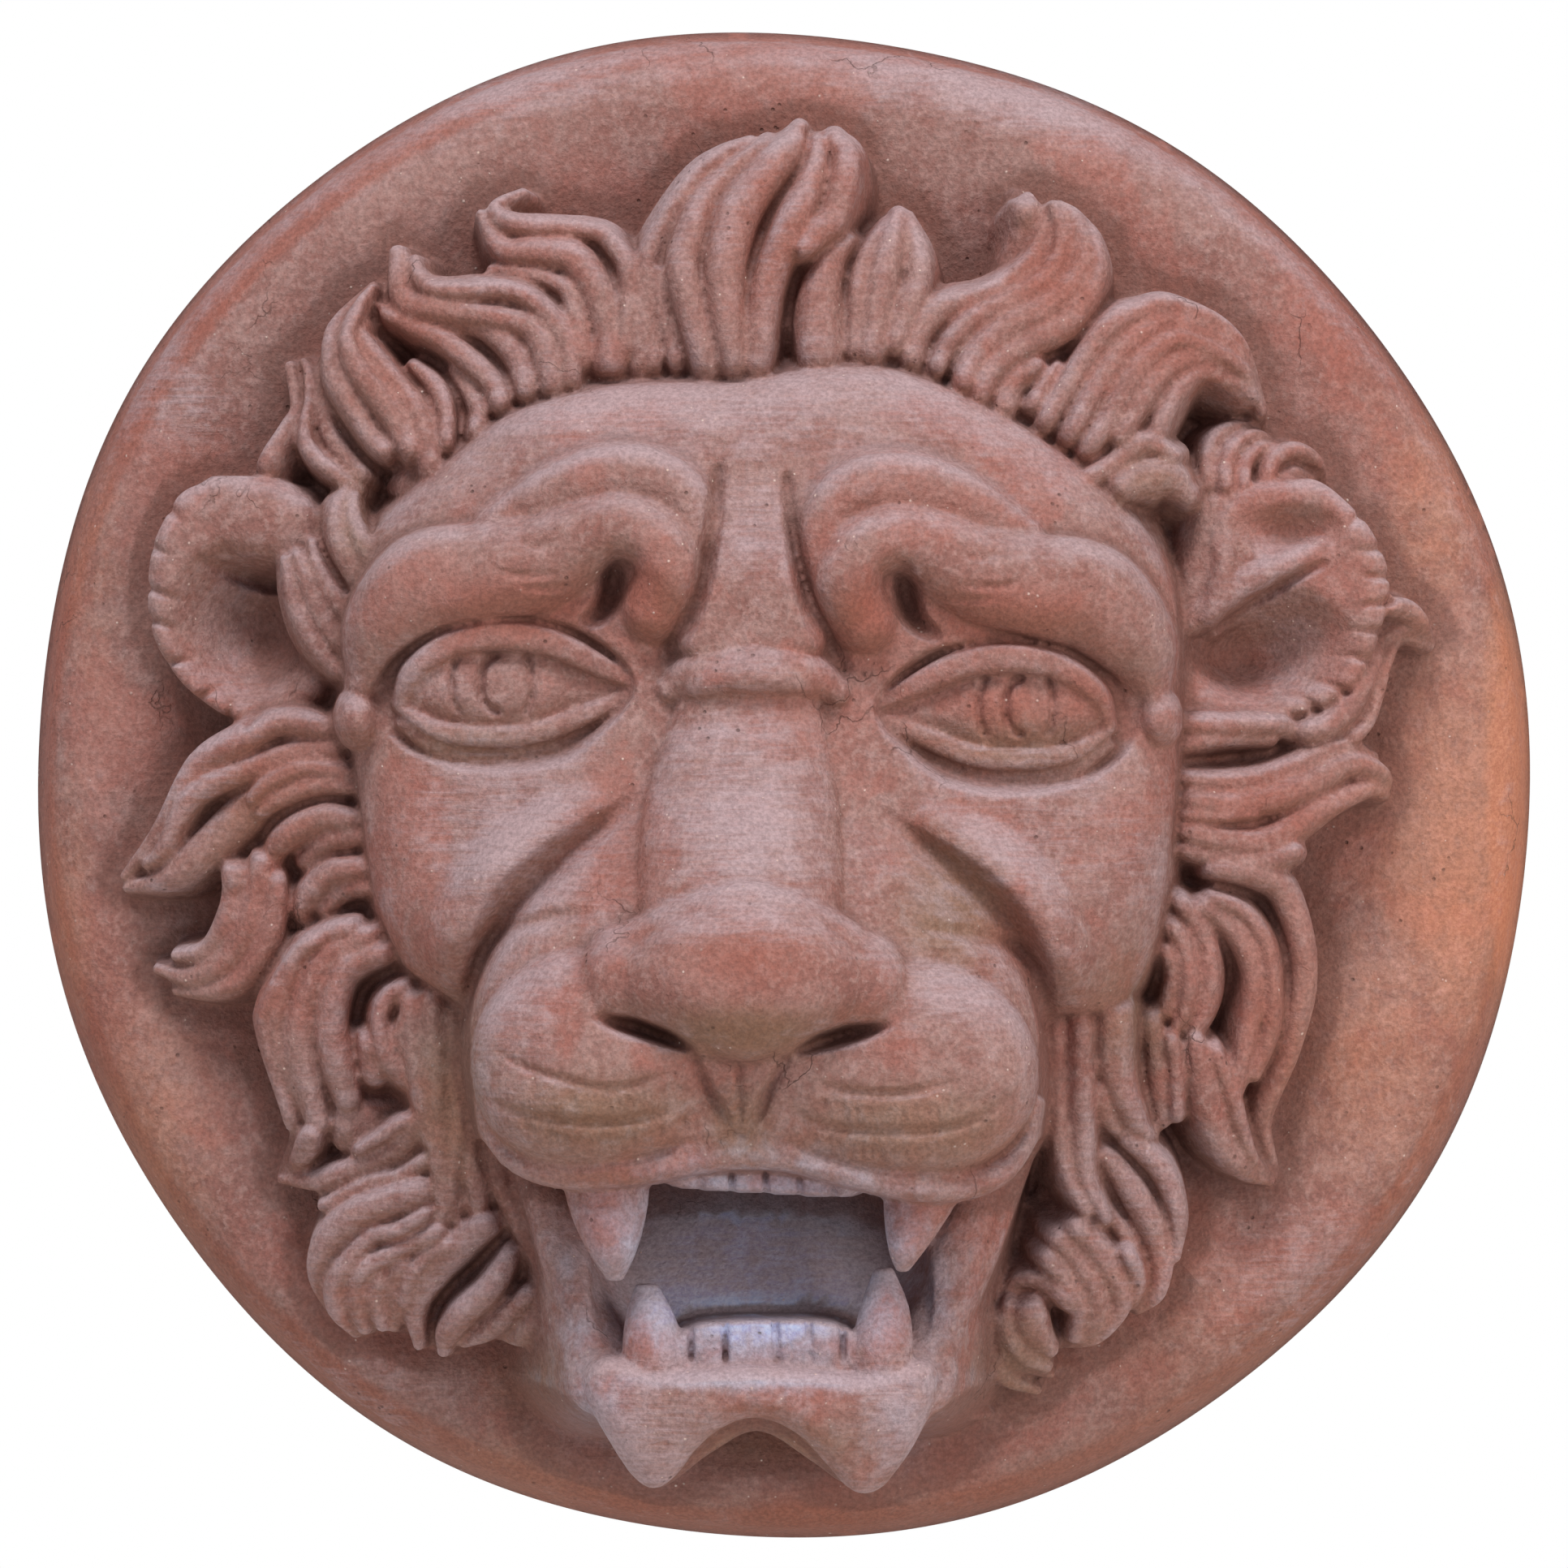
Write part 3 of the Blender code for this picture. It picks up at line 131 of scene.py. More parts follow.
# Each strand of the mane: its height at the root and at the tip, then x, y and half width from root to tip.
STRANDS = [
    # Top left.
    (68, 60, 505,610,30, 560,545,30, 625,500,26),
    (64, 50, 600,540,30, 560,470,26, 520,430,18),
    (58, 47, 325,577,15, 352,525,14, 360,495,12, 345,441,8),
    (66, 47, 440,606,10, 385,560,10, 375,530,8, 380,495,8, 374,455,7, 362,434,5),
    (64, 46, 450,592,12, 424,562,12, 404,530,11, 396,490,10, 390,450,8, 385,430,5),
    (73, 50, 478,560,10, 457,538,13, 417,475,14, 410,435,13, 416,395,12, 453,343,6),
    (76, 56, 508,560,13, 490,522,16, 441,456,14, 428,418,10, 440,383,8, 456,352,5),
    (77, 58, 532,585,14, 525,540,16, 512,505,16, 488,475,14, 447,418,9, 449,398,5),
    (76, 64, 550,552,9, 549,510,11, 536,475,11, 510,450,7),
    (76, 66, 583,538,9, 590,510,11, 580,485,10, 560,456,7),
    (77, 60, 618,502,12, 605,470,14, 550,422,13, 510,405,9, 478,388,6),
    (78, 56, 650,487,13, 640,448,15, 615,418,14, 580,404,10, 490,394,8, 468,376,6),
    (80, 56, 682,482,14, 668,425,17, 640,398,16, 540,382,15, 500,370,17, 487,308,12),
    (79, 58, 703,475,13, 695,415,14, 640,361,12, 545,357,10, 517,342,9, 510,318,7),
    (75, 60, 722,450,11, 704,368,11, 680,346,10, 640,337,8, 605,331,5),
    (79, 58, 752,455,20, 752,400,22, 715,324,20, 670,311,17, 620,306,14, 591,262,7),
    (78, 52, 768,440,12, 776,345,13, 757,303,12, 725,283,11, 632,275,12, 611,254,11, 640,229,7),
    # Crown.
    (78, 61, 790,455,14, 797,350,14, 803,305,13, 852,222,11, 890,190,9, 925,171,5),
    (78, 76, 806,455,8, 804,410,8, 802,375,5),
    (79, 77, 835,452,10, 825,415,9, 815,380,8, 812,335,6),
    (86, 66, 872,455,17, 843,345,20, 847,300,20, 862,258,17, 885,225,14, 946,172,6),
    (89, 67, 903,450,14, 893,345,24, 900,295,26, 918,250,27, 970,185,20, 985,158,8),
    (87, 69, 932,455,17, 945,355,19, 975,275,20, 992,240,18, 1005,205,14, 1008,174,7),
    (84, 68, 985,312,10, 1005,290,17, 1028,265,19, 1043,200,17, 1028,170,11),
    (85, 73, 1012,450,26, 1008,400,28, 1012,355,24, 1025,320,16, 1046,296,6),
    (81, 64, 1055,442,12, 1055,400,12, 1058,350,11, 1070,310,10, 1092,274,5),
    (83, 65, 1072,442,15, 1080,395,17, 1088,345,19, 1098,300,17, 1107,264,8),
    (81, 63, 1100,432,10, 1115,385,15, 1130,350,17, 1130,310,15, 1118,268,8),
    # Top right.
    (62, 50, 1262,250,15, 1262,285,17, 1246,318,13, 1226,340,8),
    (80, 56, 1122,450,14, 1132,410,17, 1160,380,18, 1215,362,14, 1268,325,13, 1286,285,13, 1268,240,10),
    (81, 62, 1152,458,10, 1168,425,12, 1198,395,14, 1240,372,15, 1290,340,14, 1310,295,12, 1298,254,7),
    (83, 58, 1186,478,13, 1200,440,17, 1240,405,19, 1290,378,18, 1330,335,16, 1328,276,11, 1306,250,6),
    (83, 58, 1206,492,10, 1222,456,14, 1262,426,17, 1315,398,18, 1350,345,14, 1350,300,9, 1336,268,5),
    (80, 78, 1236,508,14, 1246,472,17, 1276,450,10),
    (78, 74, 1268,505,10, 1286,474,9, 1302,450,5),
    (80, 50, 1285,525,11, 1312,480,14, 1366,404,16, 1404,384,14, 1446,377,13, 1525,416,11, 1566,497,6),
    (81, 52, 1314,540,11, 1345,490,14, 1372,445,15, 1404,412,14, 1445,397,12, 1524,434,11, 1562,502,5),
    (81, 56, 1340,555,11, 1370,510,14, 1395,465,15, 1422,434,14, 1458,418,13, 1525,450,10, 1550,488,5),
    (79, 58, 1375,545,11, 1400,505,14, 1424,468,14, 1452,446,13, 1485,443,11, 1542,486,6),
    (75, 57, 1420,545,10, 1440,500,13, 1462,470,11, 1490,460,9, 1534,489,5),
    (80, 76, 1335,560,10, 1354,530,11, 1378,500,8),
    (82, 76, 1335,594,12, 1375,570,13, 1412,546,14, 1446,562,9),
    (83, 74, 1372,604,16, 1405,592,27, 1436,590,26, 1462,610,14),
    (60, 43, 1490,605,9, 1490,562,10, 1505,532,10, 1540,518,9, 1582,530,5),
    (62, 45, 1510,606,9, 1512,568,11, 1528,543,10, 1558,530,8, 1587,538,5),
    (60, 50, 1532,606,9, 1536,572,9, 1554,550,7, 1577,542,5),
    (56, 41, 1560,600,10, 1575,562,12, 1605,549,12, 1635,562,11, 1648,588,7),
    (54, 47, 1578,600,10, 1602,580,11, 1628,584,7),
    # Right, behind the ear and below it.
    (56, 42, 1664,915,9, 1690,890,10, 1706,855,9, 1720,812,10, 1740,780,12, 1784,792,6),
    (61, 46, 1605,905,14, 1650,885,17, 1678,850,17, 1695,815,15, 1714,782,13, 1762,770,8),
    (57, 42, 1706,745,9, 1740,748,13, 1765,765,12, 1785,787,6),
    (72, 58, 1455,893,13, 1520,892,15, 1572,892,14, 1596,905,9),
    (71, 62, 1455,918,11, 1510,908,11, 1565,910,9),
    (73, 50, 1455,958,9, 1500,963,12, 1550,959,14, 1600,942,14, 1660,920,11, 1706,932,6),
    (75, 46, 1460,985,11, 1510,991,17, 1560,986,19, 1610,968,19, 1665,942,16, 1712,955,12, 1726,980,6),
    (75, 72, 1455,1003,6, 1500,1007,7, 1545,1004,5),
    (75, 50, 1455,1022,11, 1510,1037,17, 1560,1036,18, 1600,1016,18, 1645,988,15, 1690,972,12, 1718,978,7),
    (73, 70, 1450,1045,9, 1500,1055,14, 1550,1062,16, 1592,1050,13),
    (73, 43, 1490,1070,11, 1545,1077,17, 1582,1100,18, 1608,1190,16, 1592,1290,17, 1564,1385,17, 1588,1460,7),
    (72, 62, 1490,1105,9, 1530,1122,10, 1556,1155,10, 1568,1200,10, 1566,1270,9, 1546,1325,7),
    (72, 62, 1475,1112,10, 1510,1137,13, 1535,1170,14, 1545,1215,14, 1530,1310,12, 1522,1355,6),
    (74, 66, 1450,1105,10, 1475,1140,13, 1490,1180,13, 1488,1235,12, 1460,1295,5),
    (75, 68, 1438,1135,9, 1458,1165,12, 1466,1205,12, 1460,1245,10, 1446,1272,6),
    (73, 69, 1434,1165,7, 1446,1200,9, 1438,1245,10),
    (69, 62, 1418,1250,11, 1426,1300,14, 1430,1345,15, 1432,1382,9),
    (70, 66, 1442,1275,9, 1450,1320,10, 1450,1372,8),
    (69, 45, 1472,1275,9, 1482,1330,18, 1492,1380,20, 1512,1420,17, 1545,1450,14, 1580,1468,7),
    (67, 45, 1495,1290,8, 1515,1340,10, 1530,1390,10, 1550,1435,9, 1580,1461,5),
    # Low right.
    (86, 74, 1300,1255,15, 1300,1330,13, 1306,1400,12, 1316,1450,10, 1338,1492,7),
    (87, 73, 1330,1255,15, 1333,1330,15, 1334,1400,14, 1338,1450,12, 1362,1500,6),
    (86, 71, 1374,1240,22, 1372,1300,23, 1382,1345,18, 1398,1380,14, 1414,1398,6),
    (79, 70, 1352,1335,8, 1365,1378,10, 1392,1402,7),
    (71, 60, 1383,1398,10, 1412,1420,14, 1436,1450,14, 1452,1500,10, 1450,1550,5),
    (70, 51, 1354,1415,11, 1380,1446,16, 1404,1482,18, 1430,1540,16, 1430,1595,10, 1408,1624,6),
    (67, 52, 1346,1450,8, 1362,1490,9, 1390,1528,10, 1410,1580,9, 1404,1617,6),
    (68, 56, 1388,1540,8, 1402,1575,9, 1398,1610,6),
    (71, 48, 1320,1505,15, 1346,1530,18, 1368,1565,17, 1382,1605,14, 1354,1654,9, 1308,1669,6),
    (69, 56, 1298,1520,13, 1325,1550,15, 1348,1585,15, 1352,1625,14, 1334,1652,9),
    (68, 58, 1285,1545,11, 1316,1582,11, 1331,1615,10, 1325,1650,8),
    (66, 56, 1318,1606,8, 1290,1580,12, 1258,1577,11, 1228,1598,8),
    (66, 58, 1266,1606,19, 1274,1638,23, 1294,1664,13),
    (64, 54, 1243,1602,8, 1240,1640,10, 1262,1672,11, 1292,1690,9),
    (62, 48, 1225,1612,9, 1230,1645,11, 1250,1680,12, 1300,1706,7),
    (61, 46, 1200,1625,16, 1212,1665,18, 1240,1702,16, 1284,1728,7),
    (57, 44, 1178,1670,10, 1192,1705,13, 1212,1742,9),
    (54, 40, 1156,1735,13, 1195,1754,11, 1228,1766,6),
    # Left, from the ear down to the bow.
    (74, 48, 413,900,14, 346,889,17, 290,917,19, 245,945,18, 195,1023,15, 139,1082,6),
    (73, 54, 419,923,13, 363,928,14, 318,945,15, 240,979,14, 201,1046,11, 173,1066,6),
    (73, 47, 430,945,12, 380,955,17, 335,975,21, 296,1010,28, 225,1068,21, 184,1088,13, 140,1096,6),
    (75, 70, 436,956,9, 380,945,11, 335,962,11, 310,985,7),
    (75, 69, 438,970,9, 391,968,12, 346,984,11, 322,1002,7),
    (77, 64, 442,1012,13, 402,1007,17, 363,1024,18, 341,1046,14, 338,1070,7),
    (76, 68, 446,1029,13, 408,1035,15, 378,1060,12),
    (77, 62, 462,1068,14, 414,1074,16, 386,1096,17, 374,1124,12, 388,1140,6),
    (76, 69, 466,1091,11, 430,1096,12, 400,1121,9),
    (64, 48, 290,1068,17, 290,1108,19, 274,1147,19, 246,1175,15, 204,1181,9),
    (68, 43, 324,1058,15, 318,1108,20, 302,1152,21, 274,1186,19, 223,1208,13, 174,1200,7),
    (69, 45, 341,1080,11, 338,1130,15, 324,1175,17, 296,1208,15, 251,1225,12, 200,1226,7),
    # The bow and what hangs below it.
    (66, 62, 420,1380,40, 480,1375,30),
    (76, 45, 398,1155,8, 365,1177,9, 332,1235,9, 328,1275,9, 357,1375,10, 358,1405,9, 334,1452,5),
    (78, 62, 440,1140,12, 400,1152,12, 370,1175,11, 343,1245,9, 345,1295,9, 388,1391,6),
    (79, 66, 466,1148,11, 425,1166,14, 395,1192,16, 369,1265,18, 374,1315,19, 394,1384,12),
    (81, 72, 482,1172,13, 445,1183,17, 420,1206,18, 408,1255,19, 416,1310,20, 428,1352,16),
    (75, 74, 452,1275,12, 462,1320,17),
    (83, 77, 504,1212,9, 478,1230,11, 468,1260,10, 480,1305,13, 502,1334,8),
    (82, 79, 505,1240,8, 494,1275,9, 502,1305,7),
    (78, 48, 522,1372,13, 500,1405,17, 470,1426,15, 395,1455,14, 336,1462,7),
    (77, 70, 502,1378,7, 470,1400,7, 442,1416,5),
    (67, 48, 386,1395,12, 372,1422,14, 346,1452,7),
    (76, 61, 530,1425,9, 495,1450,10, 455,1460,11, 398,1486,7),
    (78, 50, 525,1465,17, 480,1480,19, 435,1500,20, 405,1530,19, 392,1575,16, 402,1627,6),
    (77, 52, 528,1493,8, 490,1515,9, 455,1525,10, 416,1575,12, 415,1615,13, 432,1650,7),
    (75, 57, 545,1515,10, 505,1533,10, 448,1565,12, 440,1600,13, 447,1640,9),
    (67, 59, 472,1568,9, 462,1600,11, 470,1635,8),
    (69, 54, 502,1550,9, 484,1580,10, 488,1612,12, 482,1640,9),
    (74, 65, 560,1530,9, 525,1550,10, 504,1578,9, 497,1606,6),
    (78, 56, 605,1505,15, 570,1530,19, 540,1560,19, 512,1605,15, 513,1662,7),
    (75, 57, 630,1542,11, 605,1585,16, 575,1612,17, 552,1642,15, 544,1668,9),
    (70, 56, 657,1588,11, 625,1620,13, 600,1640,12, 570,1658,8),
    (72, 52, 692,1598,20, 665,1625,26, 640,1645,17, 610,1652,8),
    (66, 54, 702,1640,17, 680,1660,14, 656,1666,7),
    (52, 42, 735,1715,26, 690,1705,22, 662,1690,10),
    (76, 74, 570,1240,40, 572,1380,34, 572,1480,18),
    (85, 81, 506,1225,13, 512,1290,14, 522,1350,14, 532,1405,11),
    (88, 75, 532,1225,15, 538,1300,15, 541,1370,14, 543,1440,13, 546,1500,7),
    (87, 73, 560,1235,15, 563,1310,14, 567,1380,13, 560,1430,11, 554,1475,10, 562,1504,6),
    (82, 73, 583,1375,10, 580,1430,12, 590,1480,12, 584,1506,6),
    (81, 72, 608,1395,11, 616,1450,14, 640,1500,16, 692,1605,10),
]

# The four long teeth, upper pair and lower pair: (x, y, radius across, height of the middle).
LONG_TEETH = [
    [(745, 1420, 52, 108), (748, 1470, 50, 113), (751, 1510, 41, 117), (755, 1548, 26, 119),
     (758, 1578, 9, 118)],
    [(1140, 1430, 48, 108), (1134, 1478, 44, 113), (1124, 1516, 32, 117), (1116, 1546, 19, 119),
     (1112, 1567, 7, 118)],
    [(812, 1710, 40, 104), (806, 1665, 38, 106), (801, 1620, 29, 105), (797, 1582, 13, 103)],
    [(1084, 1710, 38, 104), (1087, 1660, 37, 106), (1090, 1610, 29, 105), (1089, 1562, 11, 103)],
]

FAR = 10 * SHEET_ACROSS
RIM_WALL = 5
# How far round its line a tool's side wall is drawn, and how finely a line is traced.
TOOL_REACH = 75
TRACE_SPANS = 14
# Slots narrower than twice the radius are filled up to this depth.
SLOT_RADIUS = 9
SLOT_DEPTH = 5
# The unevenness of each layer: the seed, then (size across, height).
LUMPS = {
    "plate": (1, (150, 0.5), (60, 0.22)),
    "mane": (10, (90, 0.55), (36, 0.3)),
    "head": (20, (90, 0.55), (36, 0.3)),
}

# How far a strand runs in under its neighbours, how deep its sides curve for its width, how steep it ends,
# and how late it falls, how full its round is and how wide the fillet at its foot.
STRAND_OVERLAP = 1.1
STRAND_CROWN = 0.4
STRAND_WALL = 1.3
STRAND_FALL = 1.7
STRAND_POWER = 2.1
STRAND_FILLET = 1.2
# How far its root runs on under the face, and how far down.
STRAND_ROOT = 28
STRAND_DIVE = 22

# The hair in front of the left ear.
EAR_STRANDS = [
    (79, 70, 452,838,10, 410,818,12, 380,780,12, 362,735,11, 352,690,6),
    (81, 72, 456,822,10, 424,796,13, 398,760,12, 378,715,11, 366,684,6),
    (82, 72, 456,800,10, 436,768,12, 412,735,12, 392,700,10, 384,668,5),
    (84, 69, 462,752,12, 440,710,14, 418,668,14, 414,630,11, 426,604,6),
    (85, 71, 470,715,12, 452,680,13, 436,645,11, 436,612,6),
]

EAR_SCALLOPS = [
    ((210, 629), (228, 647)), ((192, 676), (214, 688)), ((179, 723), (237, 746)), ((179, 761), (237, 783)),
    ((209, 815), (241, 812)), ((246, 857), (272, 844)), ((277, 888), (286, 857)), ((304, 893), (330, 866)),
    ((1678, 634), (1656, 652)), ((1701, 676), (1661, 679)), ((1714, 710), (1661, 710)), ((1716, 741),
                                                                                         (1656, 750)),
    ((1705, 777), (1652, 777)), ((1687, 812), (1634, 804)), ((1661, 853), (1611, 830)), ((1625, 875),
                                                                                         (1589, 844)),
]

# Where the knife parted the front teeth.
UPPER_GAPS = (861, 901, 943, 985, 1026)
LOWER_GAPS = (850, 892, 955, 997, 1037)
GAP_WIDTH = 5
PHILTRUM_OUTLINE = [(857, 1296), (970, 1298), (948, 1345), (934, 1388), (912, 1396), (890, 1388),
                    (870, 1345)]
PHILTRUM_CUTS = [
    [(853, 1298, 8, 2), (872, 1340, 11, 4), (892, 1376, 11, 4), (910, 1400, 8, 1)],
    [(972, 1298, 8, 2), (950, 1336, 11, 4), (932, 1374, 11, 4), (914, 1400, 8, 1)],
    [(910, 1315, 7, 2), (911, 1385, 8, 3)],
]
WHISKER_CUTS = [
    [(598, 1286, 5, 0), (643, 1313, 8, 1.8), (692, 1330, 9, 2.2), (750, 1342, 9, 2.2),
     (804, 1330, 8, 1.8), (839, 1317, 5, 0)],
    [(589, 1345, 5, 0), (625, 1366, 9, 2), (679, 1379, 10, 2.4), (741, 1384, 10, 2.4), (804, 1375, 9, 2),
     (848, 1357, 6, 0)],
    [(606, 1402, 5, 0), (635, 1418, 9, 2), (685, 1433, 10, 2.6), (741, 1433, 10, 2.6),
     (804, 1422, 9, 2.4), (857, 1402, 6, 0)],
    [(985, 1326, 5, 0), (1030, 1342, 9, 2), (1080, 1348, 9, 2.2), (1125, 1345, 9, 2.2), (1200, 1328, 6, 0)],
    [(955, 1352, 5, 0), (1004, 1384, 9, 2.2), (1067, 1393, 10, 2.6), (1147, 1393, 10, 2.6),
     (1200, 1379, 9, 2), (1262, 1340, 5, 0)],
    [(955, 1397, 5, 0), (1004, 1424, 9, 2.2), (1080, 1440, 10, 2.6), (1147, 1444, 10, 2.6),
     (1200, 1436, 9, 2), (1250, 1412, 5, 0)],
]
# Rows of short marks across the whiskers: from, to, how far the row sags, how many.
WHISKER_TICKS = [
    ((648, 1336), (842, 1340), 22, 15), ((640, 1388), (848, 1384), 26, 16), ((1010, 1362),
                                                                             (1215, 1350), 20, 15),
    ((1000, 1402), (1230, 1396), 26, 17),
]
SEPTUM_OUTLINE = [(846, 1236), (916, 1228), (988, 1238), (968, 1282), (942, 1302), (916, 1307),
                  (890, 1300), (864, 1280)]
NOSE_CUTS = [
    [(736, 1254, 9, 2), (776, 1264, 15, 14), (818, 1276, 15, 17), (850, 1290, 9, 6)],
    [(1094, 1264, 9, 2), (1052, 1273, 15, 14), (1014, 1282, 15, 17), (984, 1293, 9, 6)],
]
# Colours as a screen shows them.
CLAY_DEEP = (150, 101, 93)
CLAY_MID = (165, 125, 118)
CLAY_PALE = (184, 146, 139)
# Partly lime bloom and partly a painted highlight on ridges and on faces that look up.
BLOOM_AND_HIGHLIGHT = (190, 164, 168)
# Painted warm shade on the undersides.
UNDERSIDE_SHADE = (138, 96, 74)
# Painted shade in clefts and under overhangs.
CLEFT_SHADE = (122, 80, 70)
# Painted shade in the wide hollows, and painted shadow on the plate under the locks.
RECESS_SHADE = (134, 80, 70)
FLUSH = (180, 104, 90)
LIME_SPECK = (226, 208, 198)
PIT_DARK = (84, 56, 48)
GRAIN_DARK = (104, 104, 104)
GRAIN_PALE = (168, 168, 168)
FLOOR_TONES = ((236, 234, 231), (231, 229, 226))
# Patches of colour: the attribute that holds them, the colour, and how strong it is.
WASHES = [
    ("red", (166, 94, 78), 0.75),
    # The orange wash is partly the clay's own colour and partly painted warm reflected light down the right
    # of the rim.
    ("orange", (214, 142, 104), 0.75),
    ("olive", (134, 108, 80), 0.55),
    ("blue", (200, 214, 240), 1.0),
]

# How far a point's surroundings reach, in units of the sheet.
NEAR_REACH = 13
WIDE_REACH = 44
# The rim's edge is redder than the plate: how wide the band is, over how far it fades, and how red it is.
RIM_MARGIN = 12
RIM_FADE = 16
RIM_RED = 0.7

# Soft oval spots on the sheet: x, y, half width, half height, strength.
PATCHES = {
    # The thin spots along the top edge of the chin and lower lip are a painted highlight.
    "bloom": [
        (935, 500, 330, 90, 0.5), (620, 1020, 130, 120, 0.9), (1280, 1040, 120, 140, 0.6),
        (915, 1010, 90, 150, 0.9), (790, 1770, 80, 80, 1.0), (1110, 1730, 70, 80, 0.9),
        (930, 1690, 230, 22, 0.9), (250, 950, 110, 90, 0.5), (930, 300, 120, 120, 0.4),
        (640, 1280, 60, 120, 0.5), (1180, 1230, 70, 60, 0.6), (930, 640, 40, 90, 0.7),
        (400, 1300, 60, 160, 0.4), (1560, 700, 80, 80, 0.3), (1400, 1050, 50, 90, 0.6),
        (520, 850, 60, 90, 0.4), (1190, 900, 60, 40, 0.4), (1060, 1690, 60, 20, 0.7),
        (500, 1540, 150, 120, 0.5), (1370, 1500, 120, 160, 0.5), (1580, 1560, 160, 130, 0.55),
        (400, 1720, 220, 120, 0.5), (230, 500, 60, 60, 0.8), (640, 110, 120, 40, 0.6),
        (1250, 130, 140, 50, 0.6), (1090, 120, 80, 40, 0.5), (180, 1180, 60, 120, 0.4),
        (940, 1840, 300, 30, 0.3),
    ],
    "red": [
        (640, 745, 130, 46, 0.9), (1240, 760, 130, 46, 1.0), (800, 740, 40, 60, 1.0),
        (1070, 760, 40, 60, 1.0), (915, 1180, 120, 76, 0.6), (745, 1510, 45, 60, 0.9),
        (800, 1630, 34, 60, 1.0), (1090, 1620, 34, 60, 1.0), (1120, 1520, 34, 46, 0.8),
        (760, 1450, 110, 16, 0.6), (990, 1865, 60, 30, 0.9), (960, 290, 130, 130, 0.55),
        (1290, 340, 90, 90, 0.6), (1450, 430, 100, 60, 0.6), (500, 420, 90, 120, 0.6),
        (330, 950, 130, 120, 0.55), (1560, 990, 140, 60, 0.6), (1560, 1240, 70, 160, 0.6),
        (1330, 860, 60, 60, 0.6), (950, 1650, 110, 20, 0.9), (940, 1460, 120, 14, 0.8),
        (1250, 870, 90, 40, 0.6), (120, 1350, 60, 260, 0.6), (1700, 400, 120, 200, 0.5),
        (300, 1260, 90, 80, 0.4), (1240, 1150, 60, 60, 0.6), (740, 1070, 40, 60, 0.5),
    ],
    "olive": [
        (915, 1275, 110, 34, 1.0), (740, 1375, 130, 56, 0.8), (1120, 1390, 140, 56, 0.8),
        (1170, 1110, 70, 90, 0.9), (600, 920, 120, 30, 0.6), (912, 1390, 50, 60, 0.8),
        (1400, 1250, 60, 90, 0.6), (560, 1350, 60, 130, 0.7), (1240, 920, 120, 40, 0.6),
        (650, 1700, 60, 50, 0.7), (1250, 1690, 60, 60, 0.7), (300, 1000, 80, 60, 0.4),
        (940, 1780, 120, 30, 0.7), (1420, 600, 60, 60, 0.5), (440, 640, 40, 80, 0.5),
    ],
    # The thin spot along the top edge of the chin and lower lip is a painted highlight.
    "blue": [
        (930, 1560, 175, 110, 1.0), (940, 1700, 230, 14, 0.55), (716, 1640, 30, 60, 0.3),
        (1150, 1600, 30, 80, 0.35), (730, 1740, 50, 50, 0.4), (1110, 1750, 40, 60, 0.3),
        (700, 1560, 24, 50, 0.3),
    ],
    # The orange down the right of the rim is partly the clay's own colour and partly painted warm reflected
    # light.
    "orange": [
        (1866, 1000, 45, 290, 1.2), (1800, 1060, 120, 300, 0.6), (1700, 1300, 140, 220, 0.4),
        (1770, 640, 80, 200, 0.4), (180, 1440, 90, 200, 0.4), (80, 1150, 40, 220, 0.35),
        (1480, 1640, 200, 140, 0.25), (640, 1810, 140, 70, 0.3), (110, 700, 60, 200, 0.25),
    ],
}

SENSOR_WIDTH = 36
FLOOR_SIZE = 3.0
FLOOR_LEVEL = -0.45
SKY_COLOUR = (0.93, 0.97, 1.0, 1)
SKY_STRENGTH = 0.52
BACKDROP_STRENGTH = 1.0
# Each light: its place, its size, its power and its colour. All of them face the middle of the plate.
LIGHTS = [
    ("key", (-0.4, -2.2, 3.4), (1.8, 1.2), 134, (0.97, 0.985, 1.0)),
    ("fill", (1.6, -1.8, 0.3), (1.2, 1.2), 21, (1, 0.9, 0.8)),
    ("bounce", (0.3, -1.6, -1.5), (1.8, 1.2), 48, (1, 0.92, 0.87)),
]


def smooth_curve(points, spans, closed=False):
    """Points on the smooth curve through these ones. Every column is carried along."""
    p = np.array(points, float)
    if closed:
        p = np.vstack([p[-1], p, p[0], p[1]])
    else:
        p = np.vstack([2 * p[0] - p[1], p, 2 * p[-1] - p[-2]])
    t = (np.arange(spans) / spans)[:, None]
    rows = []
    for a, b, c, d in zip(p, p[1:], p[2:], p[3:]):
        cubic = (3 * b - a - 3 * c + d) * t**3
        rows.append(0.5 * (2 * b + (c - a) * t + (2 * a - 5 * b + 4 * c - d) * t**2 + cubic))
    if not closed:
        rows.append(p[-2][None])
    return np.vstack(rows)


def soft_max(a, b, blend):
    """The higher of two surfaces, with a fillet of this width where they meet."""
    near = np.maximum(blend - np.abs(a - b), 0) / blend
    return np.maximum(a, b) + near * near * blend / 4


def ease(share):
    share = np.clip(share, 0, 1)
    return share * share * (3 - 2 * share)


def dome(share, power=2.0):
    """A rounded profile, one at the middle and nought at the edge."""
    return (1 - np.clip(share, 0, 1) ** power) ** (1 / power)


def read_profile(table, value):
    curve = smooth_curve(table, 12)
    return np.interp(value, curve[:, 0], curve[:, 1])


def both_sides(points, drop, shift=0):
    """A stroke on the left of the face, and on the right, where it sits a little lower."""
    return [points, [(2 * FACE_AXIS - x + shift, y + drop, *rest) for x, y, *rest in points]]


